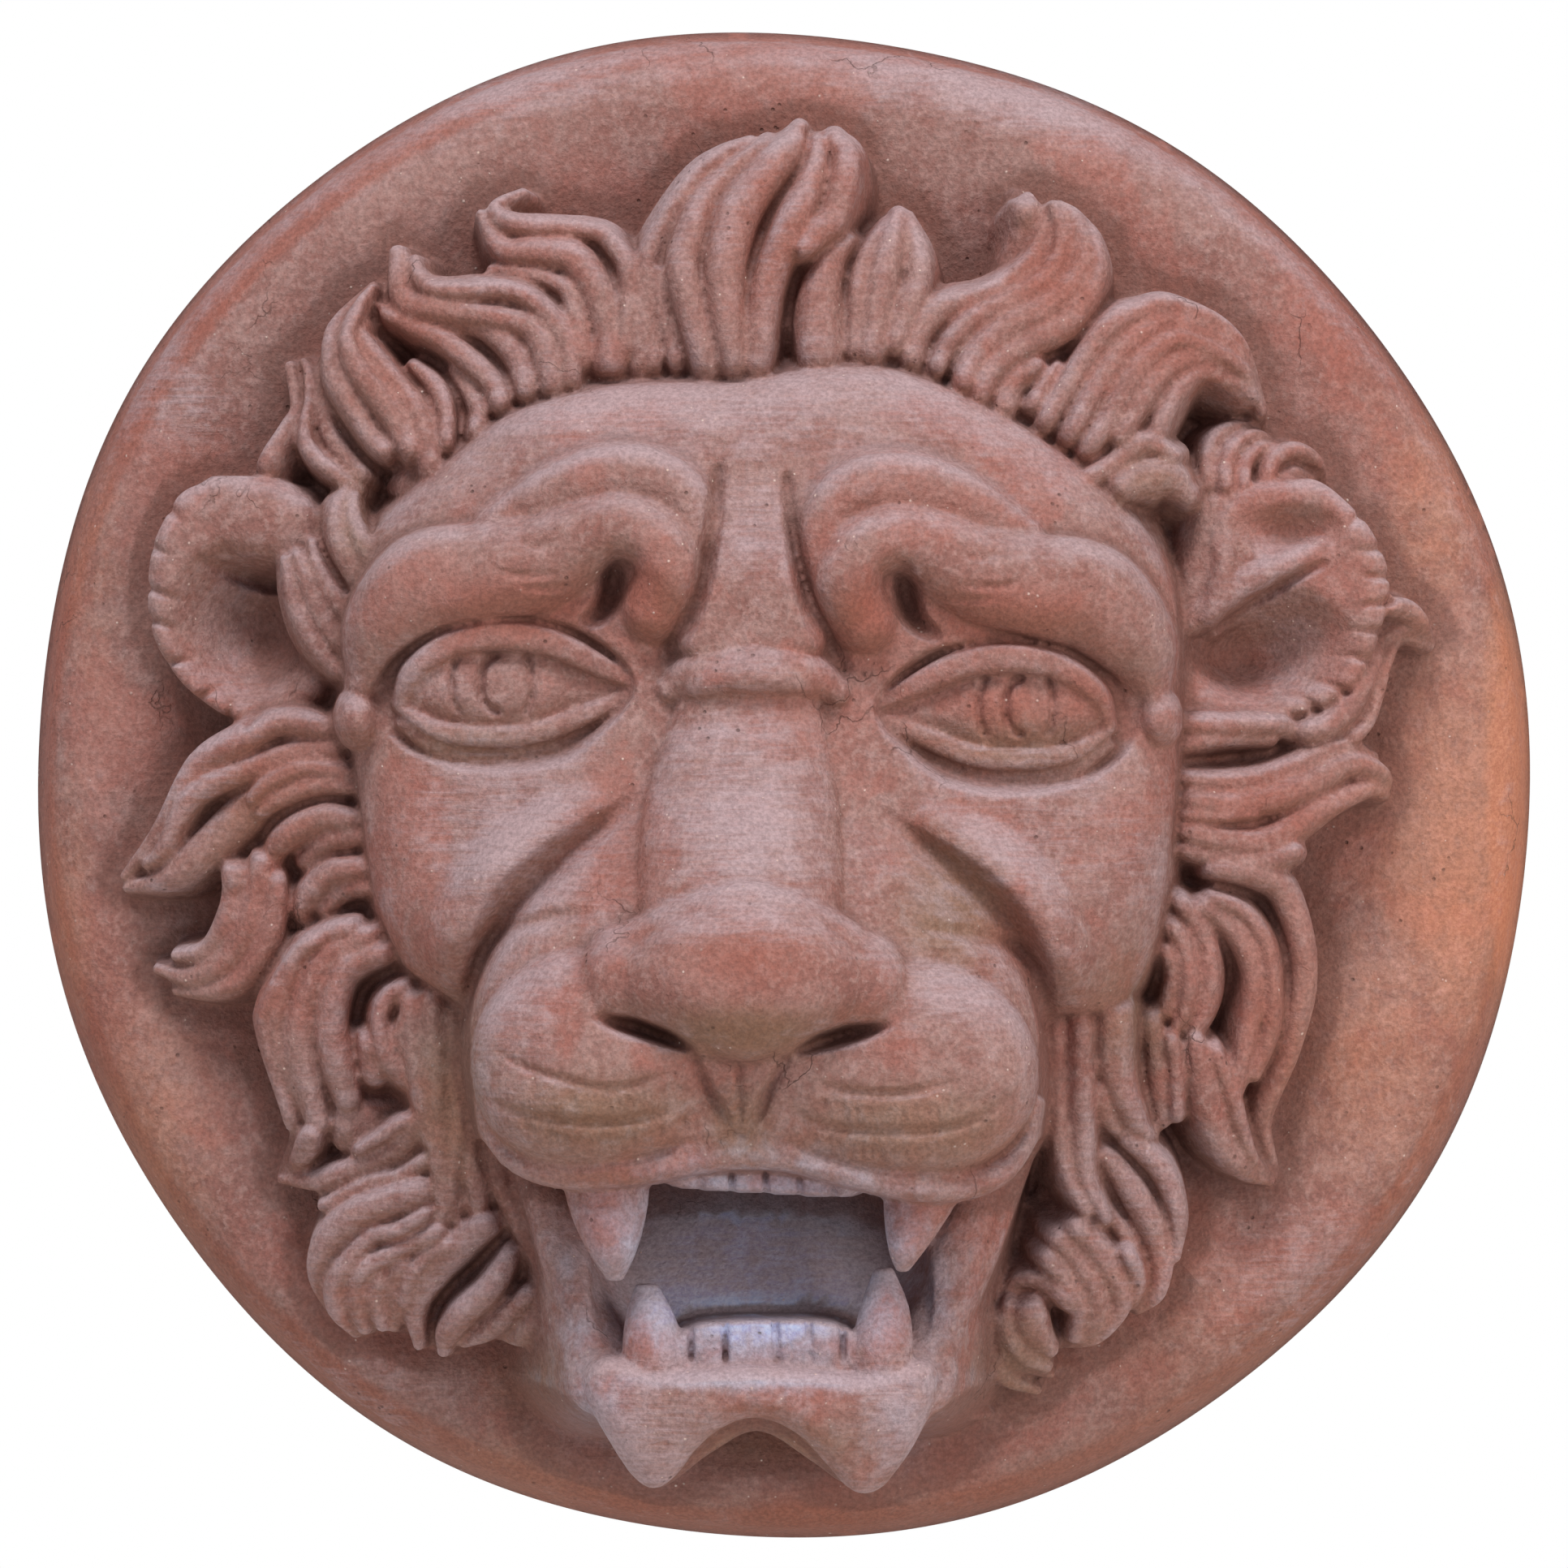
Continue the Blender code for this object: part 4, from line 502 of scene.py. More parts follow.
class Sheet:
    """Heights over the back on a square grid, which each tool raises or cuts."""

    def __init__(self, step):
        count = int(math.ceil((SHEET_ACROSS + 120) / step)) + 1
        first = SHEET_CENTRE[0] - (count - 1) * step / 2
        top = SHEET_CENTRE[1] - (count - 1) * step / 2
        across = np.arange(count) * step
        self.step = step
        self.first = (first, top)
        self.x, self.y = np.meshgrid(first + across, top + across)
        self.height = np.full_like(self.x, -SHEET_ACROSS)

    def window(self, low, high):
        x0, y0 = (max(0, int((v - f) // self.step)) for v, f in zip(low, self.first))
        x1, y1 = (max(0, int((v - f) // self.step) + 2) for v, f in zip(high, self.first))
        return slice(y0, y1), slice(x0, x1)

    def trace(self, points, margin, closed=False):
        """For each cell near a curve: its distance and the curve's other columns there."""
        curve = smooth_curve(points, TRACE_SPANS, closed)
        if closed:
            curve = np.vstack([curve, curve[:1]])
        window = self.window(curve[:, :2].min(0) - margin, curve[:, :2].max(0) + margin)
        x, y = self.x[window], self.y[window]
        nearest = np.full(x.shape, float(FAR * FAR))
        columns = np.zeros((curve.shape[1] - 2, *x.shape))
        for (ax, ay, *start), (bx, by, *end) in zip(curve, curve[1:]):
            low = min(ax, bx) - margin, min(ay, by) - margin
            high = max(ax, bx) + margin, max(ay, by) + margin
            near = tuple(
                slice(max(0, part.start - whole.start), max(0, part.stop - whole.start))
                for part, whole in zip(self.window(low, high), window)
            )
            dx, dy = bx - ax, by - ay
            length = dx * dx + dy * dy
            t = np.clip(((x[near] - ax) * dx + (y[near] - ay) * dy) / length, 0, 1)
            px, py = x[near] - ax - t * dx, y[near] - ay - t * dy
            square = px * px + py * py
            closer = square < nearest[near]
            np.copyto(nearest[near], square, where=closer)
            for column, a, b in zip(columns, start, end):
                np.copyto(column[near], a + t * (b - a), where=closer)
        return window, np.sqrt(nearest), columns

    def inside(self, window, loop):
        x, y = self.x[window], self.y[window]
        odd = np.zeros(x.shape, bool)
        for (ax, ay), (bx, by) in zip(loop, np.roll(loop, -1, axis=0)):
            if ay != by:
                rows = slice(*np.searchsorted(y[:, 0], sorted((ay, by))))
                odd[rows] ^= x[rows] < (bx - ax) * (y[rows] - ay) / (by - ay) + ax
        return odd

    def raise_to(self, window, surface, blend):
        self.height[window] = soft_max(self.height[window], surface, blend)

    def roll(self, points, crown, blend=2, power=2.0, wall=3.2):
        """A roll of clay along (x, y, half width, height)."""
        window, distance, (half, top) = self.trace(points, max(p[2] for p in points) + TOOL_REACH)
        half = np.maximum(half, 1)
        rounded = top - crown * (1 - dome(distance / half, power))
        self.raise_to(window, rounded - wall * np.maximum(distance - half, 0) / SLOPE, blend)

    def strand(self, root, tip, *places):
        """A strand of hair, which comes out from under the face and falls from root to tip."""
        points = list(zip(places[::3], places[1::3], places[2::3]))
        run = np.linspace(0, 1, len(points))
        fall = (root - tip) * run**STRAND_FALL
        rows = [(x, y, half * STRAND_OVERLAP, root - drop) for (x, y, half), drop in zip(points, fall)]
        (x, y, half, height), (next_x, next_y, *_) = rows[:2]
        back = STRAND_ROOT / math.hypot(x - next_x, y - next_y)
        rows.insert(0, (x + (x - next_x) * back, y + (y - next_y) * back, half, height - STRAND_DIVE))
        window, distance, (half, top) = self.trace(rows, max(p[2] for p in points) + TOOL_REACH)
        half = np.maximum(half, 1)
        rounded = top - STRAND_CROWN * half * (1 - dome(distance / half, STRAND_POWER))
        self.raise_to(window, rounded - STRAND_WALL * np.maximum(distance - half, 0), STRAND_FILLET)

    def add(self, points):
        """Clay added, or cut away where it is negative, along (x, y, half width, added height)."""
        window, distance, (half, lift) = self.trace(points, max(p[2] for p in points) + 8)
        share = np.clip(distance / np.maximum(half, 1), 0, 1)
        self.height[window] += lift * (1 - share**2) ** 1.5

    def cut(self, points):
        self.add([(x, y, half, -depth) for x, y, half, depth in points])

    def stroke(self, points, width, depth):
        """A knife cut along (x, y) that starts and ends shallow."""
        run = np.linspace(0, 1, len(points))
        swell = np.clip(0.25 + 2.6 * np.sqrt(run * (1 - run)), 0, 1)
        self.cut([(x, y, width * (0.6 + 0.4 * s), depth * s) for (x, y), s in zip(points, swell)])

    def oval_share(self, centre, radii):
        """The cells round an oval, and how far out each lies: nought at its centre and one at its edge."""
        window = self.window(np.subtract(centre, radii), np.add(centre, radii))
        x, y = self.x[window] - centre[0], self.y[window] - centre[1]
        return window, np.hypot(x / radii[0], y / radii[1])

    def oval(self, centre, radii, foot, top, blend, power=2.0):
        """A dome of clay standing on its own oval foot."""
        window, share = self.oval_share(centre, radii)
        surface = np.where(share < 1, foot + (top - foot) * dome(share, power), -np.inf)
        self.raise_to(window, surface, blend)

    def hollow(self, centre, radii, depth):
        window, share = self.oval_share(centre, radii)
        self.height[window] -= depth * (1 - np.clip(share, 0, 1) ** 2) ** 2

    def outlined(self, outline, level):
        """The cells round an outline: how far each lies from it, if it is inside, and the level there."""
        window, distance, _ = self.trace(outline, TOOL_REACH, closed=True)
        within = self.inside(window, smooth_curve(outline, 8, closed=True))
        if callable(level):
            level = level(self.x[window], self.y[window])
        return window, distance, within, level

    def slab(self, outline, top, edge, crown, blend=2, wall=3.2):
        """A block of clay up to a height or a surface, rounded by crown over the width edge."""
        window, distance, within, level = self.outlined(outline, top)
        rounded = level - crown * (1 - dome(1 - distance / edge))
        self.raise_to(window, np.where(within, rounded, level - crown - wall * distance / SLOPE), blend)

    def pit(self, outline, floor, wall, blend):
        """A hollow with this outline, cut down to the floor, which is a height or a surface."""
        window, distance, within, level = self.outlined(outline, floor)
        before = self.height[window]
        after = soft_max(before - wall * distance / SLOPE, level, blend)
        self.height[window] = np.where(within, np.minimum(before, after), before)

    def fill_slots(self, radius, depth):
        """Fills what is narrower than twice this radius until it is no deeper than this."""
        cells = int(radius // self.step)
        span = range(-cells, cells + 1)
        disc = [(i, j) for i in span for j in span if i * i + j * j <= cells * cells]
        highest = np.maximum.reduce([np.roll(self.height, shift, (0, 1)) for shift in disc])
        closed = np.minimum.reduce([np.roll(highest, shift, (0, 1)) for shift in disc])
        self.height = soft_max(self.height, closed - depth, 2)

    def lumps(self, seed, *sizes):
        """The unevenness that hands leave: smooth noise, for each (size across, height)."""
        for turn, (across, high) in enumerate(sizes):
            position = np.arange(self.x.shape[0]) * self.step / across
            low = position.astype(int)
            share = ease(position - low)
            noise = np.random.default_rng(seed + turn).standard_normal((low[-1] + 2, low[-1] + 2))
            rows = noise[low] * (1 - share)[:, None] + noise[low + 1] * share[:, None]
            self.height += high * (rows[:, low] * (1 - share) + rows[:, low + 1] * share)


def rim_radius(angle):
    strays = (size * np.cos(waves * angle + math.radians(phase)) for waves, size, phase in RIM_WAVES)
    return SHEET_ACROSS / 2 + sum(strays)


def turn_plate(sheet):
    """A shallow dish with a raised band round it, its outer edge rolled back to the rim."""
    x, y = sheet.x - SHEET_CENTRE[0], SHEET_CENTRE[1] - sheet.y
    from_rim = (rim_radius(np.arctan2(y, x)) - np.hypot(x, y)) * UNIT
    rise = np.sqrt(1 - (1 - np.clip(from_rim / CREST_WIDTH, 0, 1)) ** 2)
    dish = ease((from_rim - CREST_WIDTH) / DISH_WIDTH)
    band = RIM_THICKNESS + (CREST_THICKNESS - RIM_THICKNESS) * rise
    sheet.height = (band - (CREST_THICKNESS - DISH_THICKNESS) * dish) / RISE
    sheet.lumps(*LUMPS["plate"])
    sheet.height = np.where(from_rim > 0, sheet.height, (RIM_THICKNESS + RIM_WALL * from_rim) / RISE)


def comb_mane(sheet):
    sheet.oval((925, 950), (600, 640), 14, 58, 14, 2.6)
    for strand in STRANDS:
        sheet.strand(*strand)
    sheet.fill_slots(SLOT_RADIUS, SLOT_DEPTH)


def build_ears(sheet):
    sheet.slab(LEFT_EAR, 62, 26, 9, wall=8)
    sheet.hollow((300, 775), (108, 128), 24)
    sheet.roll([(252, 625, 30, 60), (300, 640, 44, 65), (352, 650, 44, 67)], 8, 5)
    sheet.cut([(250, 692, 10, 2), (290, 706, 16, 9), (345, 716, 16, 10), (380, 722, 10, 3)])
    sheet.slab(RIGHT_EAR, 62, 26, 9, wall=8)
    sheet.hollow((1560, 800), (128, 92), 24)
    sheet.hollow((1595, 655), (80, 40), 8)
    sheet.roll([(1455, 775, 18, 64), (1509, 738, 20, 66), (1560, 706, 18, 66), (1632, 672, 12, 60)], 5, 4)
    sheet.roll([(1492, 760, 14, 66), (1508, 700, 15, 66), (1508, 650, 15, 64), (1535, 615, 13, 62)], 5, 4)
    sheet.cut([(1455, 797, 8, 3), (1509, 766, 12, 7), (1560, 730, 12, 7), (1632, 694, 8, 2)])
    for (ax, ay), (bx, by) in EAR_SCALLOPS:
        sheet.cut([(ax, ay, 8, 4), (bx, by, 5, 0)])
    for strand in EAR_STRANDS:
        sheet.strand(*strand)


def build_face(sheet):
    def surface(x, y):
        share = np.abs(x - FACE_AXIS - 5) / 515
        return read_profile(FACE_PROFILE, y) - read_profile(FACE_FALL, y) * share**2.4

    sheet.slab(FACE_OUTLINE, surface, 70, 16, 6, 4)


def build_brows(sheet):
    """Each brow is a heavy roll, whose inner end curls over a hole and hangs as a lobe by the bridge."""
    outer_fold = [(604, 650, 20, 107), (676, 606, 28, 112), (740, 586, 34, 116), (800, 586, 34, 118),
                  (844, 614, 30, 119), (860, 664, 24, 118), (856, 724, 18, 114), (838, 772, 14, 109)]
    brow = [(448, 842, 24, 95), (474, 780, 54, 106), (528, 724, 68, 114), (600, 706, 64, 118),
            (666, 692, 60, 120), (722, 662, 50, 122), (770, 648, 42, 125), (812, 668, 42, 127),
            (826, 708, 44, 127), (806, 752, 40, 122)]
    hole = [(757, 688, 14, 4), (757, 706, 20, 12), (753, 730, 21, 14), (742, 752, 19, 10),
            (722, 768, 13, 4)]
    wrinkles = [[(634, 664), (662, 674), (688, 668)], [(606, 700), (642, 709), (690, 706)],
                [(640, 722), (676, 726), (716, 720)], [(662, 738), (690, 740), (722, 735)]]
    for points in both_sides(outer_fold, 10):
        sheet.roll(points, 7, 10, wall=5)
    for points in both_sides(brow, 14):
        sheet.roll(points, 16, 6, 2.2, 9)
    for points in both_sides(hole, 14, 2):
        sheet.cut(points)
    for wrinkle in wrinkles:
        for points in both_sides(wrinkle, 14):
            sheet.stroke(points, 7, 1.7)


def build_eye(sheet, across, down, flipped, iris_shift, iris_width):
    """An eyeball between two lids, in a socket under the brow. It is drawn for the left eye and moved."""
    centre_x, centre_y = 612, 843

    def placed(points):
        turned = [(2 * centre_x - p[0], *p[1:]) for p in points] if flipped else points
        return [(p[0] + across, p[1] + down, *p[2:]) for p in turned]

    def arc(centre, radii, turns, width, depth):
        angles = math.pi * np.linspace(*turns, 8)
        places = [(centre[0] + radii[0] * math.cos(t), centre[1] + radii[1] * math.sin(t)) for t in angles]
        sheet.cut([(*place, width, depth) for place in places])

    socket = [(455, 868), (478, 812), (520, 780), (580, 762), (690, 766), (738, 786), (770, 815),
              (784, 850), (755, 892), (690, 940), (590, 950), (500, 925)]
    upper_lid = [(492, 868, 8, 100), (508, 828, 13, 106), (550, 796, 17, 109), (605, 783, 18, 111),
                 (672, 790, 18, 110), (728, 815, 15, 108), (780, 842, 9, 105)]
    lower_lid = [(500, 876, 8, 100), (540, 900, 12, 103), (600, 908, 14, 104), (660, 903, 14, 104),
                 (722, 880, 13, 104), (782, 852, 8, 104)]
    bag = [(494, 890, 8, 97), (540, 922, 11, 99), (605, 936, 12, 100), (680, 926, 12, 100),
           (745, 896, 10, 99)]
    lid_crease = [(488, 842, 4, 1), (520, 795, 5, 2), (580, 768, 5, 2.2), (650, 764, 5, 2.2),
                  (715, 786, 5, 2), (770, 818, 4, 1)]
    sheet.pit(placed(socket), 91, 3, 6)
    sheet.oval((centre_x + across, centre_y + down), (124, 58), 92, 107, 1.5, 2.4)
    sheet.roll(placed([(690, 848, 26, 103), (735, 847, 15, 103), (768, 846, 6, 102)]), 3, 2)
    sheet.roll(placed(upper_lid), 4, 1, 2.8, 8)
    sheet.roll(placed(lower_lid), 4, 1, 2.8, 8)
    sheet.roll(placed(bag), 4, 1)
    sheet.cut(placed(lid_crease))
    sheet.cut(placed([(735, 846, 5, 2), (775, 845, 4, 0)]))
    iris = (centre_x + across + iris_shift, centre_y + down - 1)
    arc(iris, (iris_width, 62), (-0.19, 0.19), 6, 3.2)
    arc(iris, (iris_width, 62), (0.81, 1.19), 6, 3.2)
    arc((iris[0] + 6, iris[1]), (20, 34), (0.5, 1.5), 7, 4)


def build_bridge(sheet):
    def strip_top(x, y):
        return 106 + 14 * ease((y - 560) / 170)

    strip = [(889, 556), (966, 558), (975, 659), (988, 721), (1008, 800), (844, 800), (864, 700),
             (880, 640)]
    sheet.slab(strip, strip_top, 18, 3)
    sheet.cut([(885, 580, 11, 3), (877, 646, 14, 5), (868, 700, 16, 6.5), (850, 757, 18, 6.5),
               (824, 804, 18, 3)])
    sheet.cut([(969, 590, 11, 3), (978, 659, 14, 5), (990, 721, 16, 6.5), (1006, 766, 18, 6.5),
               (1036, 822, 18, 3)])
    sheet.roll([(826, 848, 20, 114), (860, 832, 26, 121), (925, 824, 28, 125), (990, 830, 26, 122),
                (1030, 852, 20, 115)], 7)
    nose_back = [(922, 902, 96, 123), (916, 980, 118, 133), (912, 1060, 126, 144), (914, 1140, 128, 152),
                 (915, 1190, 124, 155)]
    sheet.roll(nose_back, 30, 24, 2.5, 1.6)
    sheet.cut([(845, 880, 30, 2), (925, 872, 40, 3), (1005, 882, 30, 2)])


def build_mouth(sheet):
    """The open jaws: their skin, the hollow of the mouth, the lips, the chin and the front teeth."""
    def jaw_top(x, y):
        return 92 - 6 * ease((1600 - y) / 100) - 8 * np.abs(y - 1560) / 300 + 16 * ease((y - 1700) / 60)

    def chin_top(x, y):
        return 121 - 8 * ((x - FACE_AXIS) / 220) ** 2 - 10 * ease((y - 1720) / 130)

    def mouth_floor(x, y):
        return 48 + 32 * ease((y - 1480) / 170)

    sheet.slab(JAW_OUTLINE, jaw_top, 40, 12, 4, 14)
    sheet.pit(MOUTH_OUTLINE, mouth_floor, 10, 8)
    jaw_side = [(672, 1500, 24, 86), (702, 1580, 32, 91), (724, 1640, 40, 98), (748, 1706, 50, 107)]
    for points in both_sides(jaw_side, 0, 6):
        sheet.roll(points, 10, 18, wall=3)
    sheet.slab(CHIN_OUTLINE, chin_top, 26, 9, 3, 14)
    lower_row = [(846, 1636), (955, 1626), (1044, 1636), (1046, 1688), (940, 1684), (842, 1688)]
    upper_row = [(826, 1438), (930, 1430), (1048, 1450), (1050, 1474), (940, 1470), (832, 1462)]
    sheet.slab(lower_row, 112, 8, 3, 1, 20)
    sheet.slab(upper_row, 124, 8, 3, 1, 20)
    for places, top, foot, depth, slant in ((LOWER_GAPS, 1630, 1676, 8, 2), (UPPER_GAPS, 1440, 1475, 7, 1)):
        for x in places:
            sheet.cut([(x, top, GAP_WIDTH, depth), (x + slant, foot, GAP_WIDTH, depth)])
    lip = [(594, 1352, 10, 116), (606, 1396, 12, 121), (642, 1432, 15, 128), (704, 1448, 17, 134),
           (790, 1442, 18, 137), (860, 1426, 20, 139), (915, 1418, 22, 140), (975, 1424, 20, 139),
           (1060, 1448, 18, 138), (1150, 1464, 18, 135), (1222, 1450, 16, 129), (1262, 1410, 12, 122),
           (1276, 1360, 10, 116)]
    sheet.roll(lip, 5, 4, wall=20)


def build_muzzle(sheet):
    def surface(x, y):
        return read_profile(MUZZLE_PROFILE, y) - 24 * (np.abs(x - FACE_AXIS + 10) / 350) ** 2.2

    sheet.slab(MUZZLE_OUTLINE, surface, 48, 16, 4, 5)
    crease = [(778, 982, 9, 1), (742, 1016, 18, 4), (692, 1052, 25, 6), (642, 1096, 27, 7),
              (606, 1150, 25, 7), (585, 1210, 18, 5), (578, 1270, 10, 1)]
    cheek = [(720, 990, 30, 3), (660, 1030, 46, 7), (598, 1088, 50, 9), (560, 1150, 44, 9),
             (548, 1210, 30, 5)]
    pad_crease = [(590, 1176, 9, 1), (622, 1148, 13, 3), (672, 1132, 13, 3), (728, 1124, 9, 1)]
    for points in both_sides(crease, 20):
        sheet.cut(points)
    for points in both_sides(cheek, 20):
        sheet.add(points)
    sheet.oval((730, 1310), (150, 144), 118, 149, 10, 2.7)
    sheet.oval((1120, 1322), (160, 140), 118, 149, 10, 2.7)
    for points in both_sides(pad_crease, 20):
        sheet.cut(points)
    sheet.slab(PHILTRUM_OUTLINE, 146, 16, 6, 3)
    for points in PHILTRUM_CUTS + WHISKER_CUTS:
        sheet.cut(points)
    chance = np.random.default_rng(5)
    for (ax, ay), (bx, by), sag, count in WHISKER_TICKS:
        for share in (np.arange(count) + 0.5) / count:
            x, y = ax + (bx - ax) * share, ay + (by - ay) * share + sag * 4 * share * (1 - share)
            x, deep = x + chance.uniform(-4, 4), chance.uniform(0.8, 2.4)
            sheet.cut([(x, y - 8, 5, deep), (x + 2, y + chance.uniform(2, 10), 4, deep / 2)])


def build_nose(sheet):
    sheet.oval((770, 1208), (60, 58), 112, 150, 12, 2.6)
    sheet.oval((1064, 1216), (58, 60), 112, 150, 12, 2.6)
    band_across = [(776, 1196, 60, 147), (842, 1188, 82, 156), (916, 1184, 98, 161), (992, 1192, 84, 157),
                   (1060, 1204, 58, 148)]
    sheet.roll(band_across, 20, 12, 2.6, 6)
    sheet.oval((916, 1210), (150, 98), 120, NOSE_HEIGHT - 3, 22, 2.8)
    sheet.slab(SEPTUM_OUTLINE, 160, 26, 12, 8, 10)
    for points in NOSE_CUTS:
        sheet.cut(points)


def carve():
    """The clay in three layers, each with the way its lower parts lean in and the height it starts from."""
    plate, mane, head = Sheet(GRID_STEP), Sheet(GRID_STEP), Sheet(GRID_STEP)
    turn_plate(plate)
    comb_mane(mane)
    build_ears(mane)
    build_face(head)
    build_brows(head)
    build_eye(head, 0, 0, False, -6, 50)
    build_eye(head, 636, 28, True, 4, 46)
    for x in (440, 1428):
        head.oval((x, 885), (30, 40), 80, 98, 4)
    build_bridge(head)
    build_mouth(head)
    build_muzzle(head)
    build_nose(head)
    mane.lumps(*LUMPS["mane"])
    head.lumps(*LUMPS["head"])
    return [(plate, upright, -CUT_BELOW), (mane, under_mane, LAYER_FLOOR), (head, under_head, LAYER_FLOOR)]


def upright(x, y, height):
    return x, y


def drop_below(height, undercut):
    return undercut[0] * np.maximum(undercut[1] - height, 0) * SLOPE


def under_mane(x, y, height):
    """The locks are undercut: what lies lower moves in towards the middle."""
    out_x, out_y = x - SHEET_CENTRE[0], y - SHEET_CENTRE[1]
    inwards = drop_below(height, MANE_UNDERCUT) / np.maximum(np.hypot(out_x, out_y), SHEET_ACROSS / 4)
    return x - inwards * out_x, y - inwards * out_y


def under_head(x, y, height):
    """The chin and the palate are undercut: what lies lower moves up."""
    chin = drop_below(height, CHIN_UNDERCUT) * ease((y - CHIN_BAND[0]) / (CHIN_BAND[1] - CHIN_BAND[0]))
    start, full, end, gone = PALATE_BAND
    share = ease((y - start) / (full - start)) * ease((gone - y) / (gone - end))
    return x, y - chin - drop_below(height, PALATE_UNDERCUT) * share


def in_space(x, y, height):
    """A point of the sheet in metres. What stands forward is drawn in towards the axis."""
    forward = height * RISE
    draft = UNIT * (1 - forward / DRAFT_DISTANCE)
    return (x - SHEET_CENTRE[0]) * draft, -forward, (SHEET_CENTRE[1] - y) * draft


def solid_of_sheet(sheet, lean, floor):
    """What stands over the floor as a closed solid: the sheet's surface, straight sides and a flat bottom."""
    high = sheet.height > floor
    cells = high[:-1, :-1] | high[1:, :-1] | high[1:, 1:] | high[:-1, 1:]
    height = np.maximum(sheet.height, floor)
    top = np.stack(in_space(*lean(sheet.x, sheet.y, height), height), axis=-1).reshape(-1, 3)
    bottom = top * (1, 0, 1) - (0, (floor - CUT_BELOW / 2) * RISE, 0)
    index = np.arange(height.size).reshape(height.shape)
    quads = np.stack([index[:-1, :-1], index[1:, :-1], index[1:, 1:], index[:-1, 1:]], axis=-1)[cells]
    ends = np.concatenate([quads[:, [i, (i + 1) % 4]] for i in range(4)])
    border = ends[~np.isin(ends @ (height.size, 1), ends @ (1, height.size))]
    sides = np.concatenate([border, border[:, ::-1] + height.size], axis=1)
    mesh = bpy.data.meshes.new("layer")
    faces = np.concatenate([quads, quads[:, ::-1] + height.size, sides])
    mesh.from_pydata(np.concatenate([top, bottom]), [], faces)
    return mesh


def mesh_of(shape, name):
    mesh = bpy.data.meshes.new(name)
    shape.to_mesh(mesh)
    shape.free()
    return mesh


def placed_object(name, data, place=(0, 0, 0), turn=(0, 0, 0)):
    obj = bpy.data.objects.new(name, data)
    obj.location = place
    obj.rotation_euler = turn
    bpy.context.collection.objects.link(obj)
    return obj


def long_tooth(points):
    """A round tooth along (x, y, radius, height), closed at both ends."""
    shape = bmesh.new()
    rings = []
    for x, y, radius, height in smooth_curve(points, 3):
        centre, wide = in_space(x, y, height), radius * UNIT
        turns = [2 * math.pi * side / TOOTH_SIDES for side in range(TOOTH_SIDES)]
        places = [(centre[0] + wide * math.cos(t), centre[1] + wide * math.sin(t), centre[2]) for t in turns]
        rings.append([shape.verts.new(place) for place in places])
    for lower, upper in zip(rings, rings[1:]):
        for i in range(TOOTH_SIDES):
            shape.faces.new((lower[i - 1], lower[i], upper[i], upper[i - 1]))
    shape.faces.new(rings[0])
    shape.faces.new(rings[-1])
    bmesh.ops.recalc_face_normals(shape, faces=shape.faces)
    return mesh_of(shape, "long_tooth")


def joined(meshes):
    shape = bmesh.new()
    for mesh in meshes:
        shape.from_mesh(mesh)
    return mesh_of(shape, "clay")


def evaluated_copy(obj):
    graph = bpy.context.evaluated_depsgraph_get()
    return bpy.data.meshes.new_from_object(obj.evaluated_get(graph), depsgraph=graph)


def fused(mesh):
    """The clay as one closed skin, thinned to the number of triangles that the form needs."""
    blank = placed_object("blank", mesh)
    remesh = blank.modifiers.new("one_skin", "REMESH")
    remesh.mode = "VOXEL"
    remesh.voxel_size = VOXEL_SIZE
    skin = evaluated_copy(blank)
    blank.modifiers.remove(remesh)
    blank.data = skin
    thin = blank.modifiers.new("thin", "DECIMATE")
    thin.use_collapse_triangulate = True
    thin.ratio = TRIANGLES / sum(len(face.vertices) - 2 for face in skin.polygons)
    result = evaluated_copy(blank)
    bpy.data.objects.remove(blank)
    return result


def cut_back_flat(mesh):
    """Everything behind the plane Y = 0 is sliced off, and the cut closed as the flat back."""
    shape = bmesh.new()
    shape.from_mesh(mesh)
    geometry = shape.verts[:] + shape.edges[:] + shape.faces[:]
    cut = bmesh.ops.bisect_plane(shape, geom=geometry, dist=1e-6, plane_no=(0, 1, 0), clear_outer=True)
    edges = [item for item in cut["geom_cut"] if isinstance(item, bmesh.types.BMEdge)]
    bmesh.ops.holes_fill(shape, edges=edges, sides=0)
    bmesh.ops.triangulate(shape, faces=[face for face in shape.faces if len(face.verts) > 3])
    bmesh.ops.recalc_face_normals(shape, faces=shape.faces)
    shape.to_mesh(mesh)
    shape.free()
    return mesh


def blurred(values, reach):
    """The values with a soft brush of this many cells drawn over them, along both ways of the grid."""
    kernel = np.exp(-0.5 * (np.arange(-3 * reach, 3 * reach + 1) / reach) ** 2)
    kernel /= kernel.sum()
    for _ in range(2):
        padded = np.pad(values, ((3 * reach, 3 * reach), (0, 0)), mode="edge")
        values = sum(weight * padded[i:i + len(values)] for i, weight in enumerate(kernel)).T
    return values


def read_grid(sheet, values, x, y):
    """The grid's values at these points of the sheet, between its cells."""
    column = np.clip((x - sheet.first[0]) / sheet.step, 0, values.shape[1] - 1.001)
    row = np.clip((y - sheet.first[1]) / sheet.step, 0, values.shape[0] - 1.001)
    i, j = row.astype(int), column.astype(int)
    s, t = row - i, column - j
    upper = values[i, j] * (1 - t) + values[i, j + 1] * t
    lower = values[i + 1, j] * (1 - t) + values[i + 1, j + 1] * t
    return upper * (1 - s) + lower * s


def patches(x, y, spots):
    """Where a colour lies: soft oval spots of (x, y, half width, half height, strength)."""
    field = np.zeros_like(x)
    for across, down, wide, tall, strength in spots:
        spot = strength * np.exp(-(((x - across) / wide) ** 2 + ((y - down) / tall) ** 2))
        field = np.maximum(field, spot)
    return field


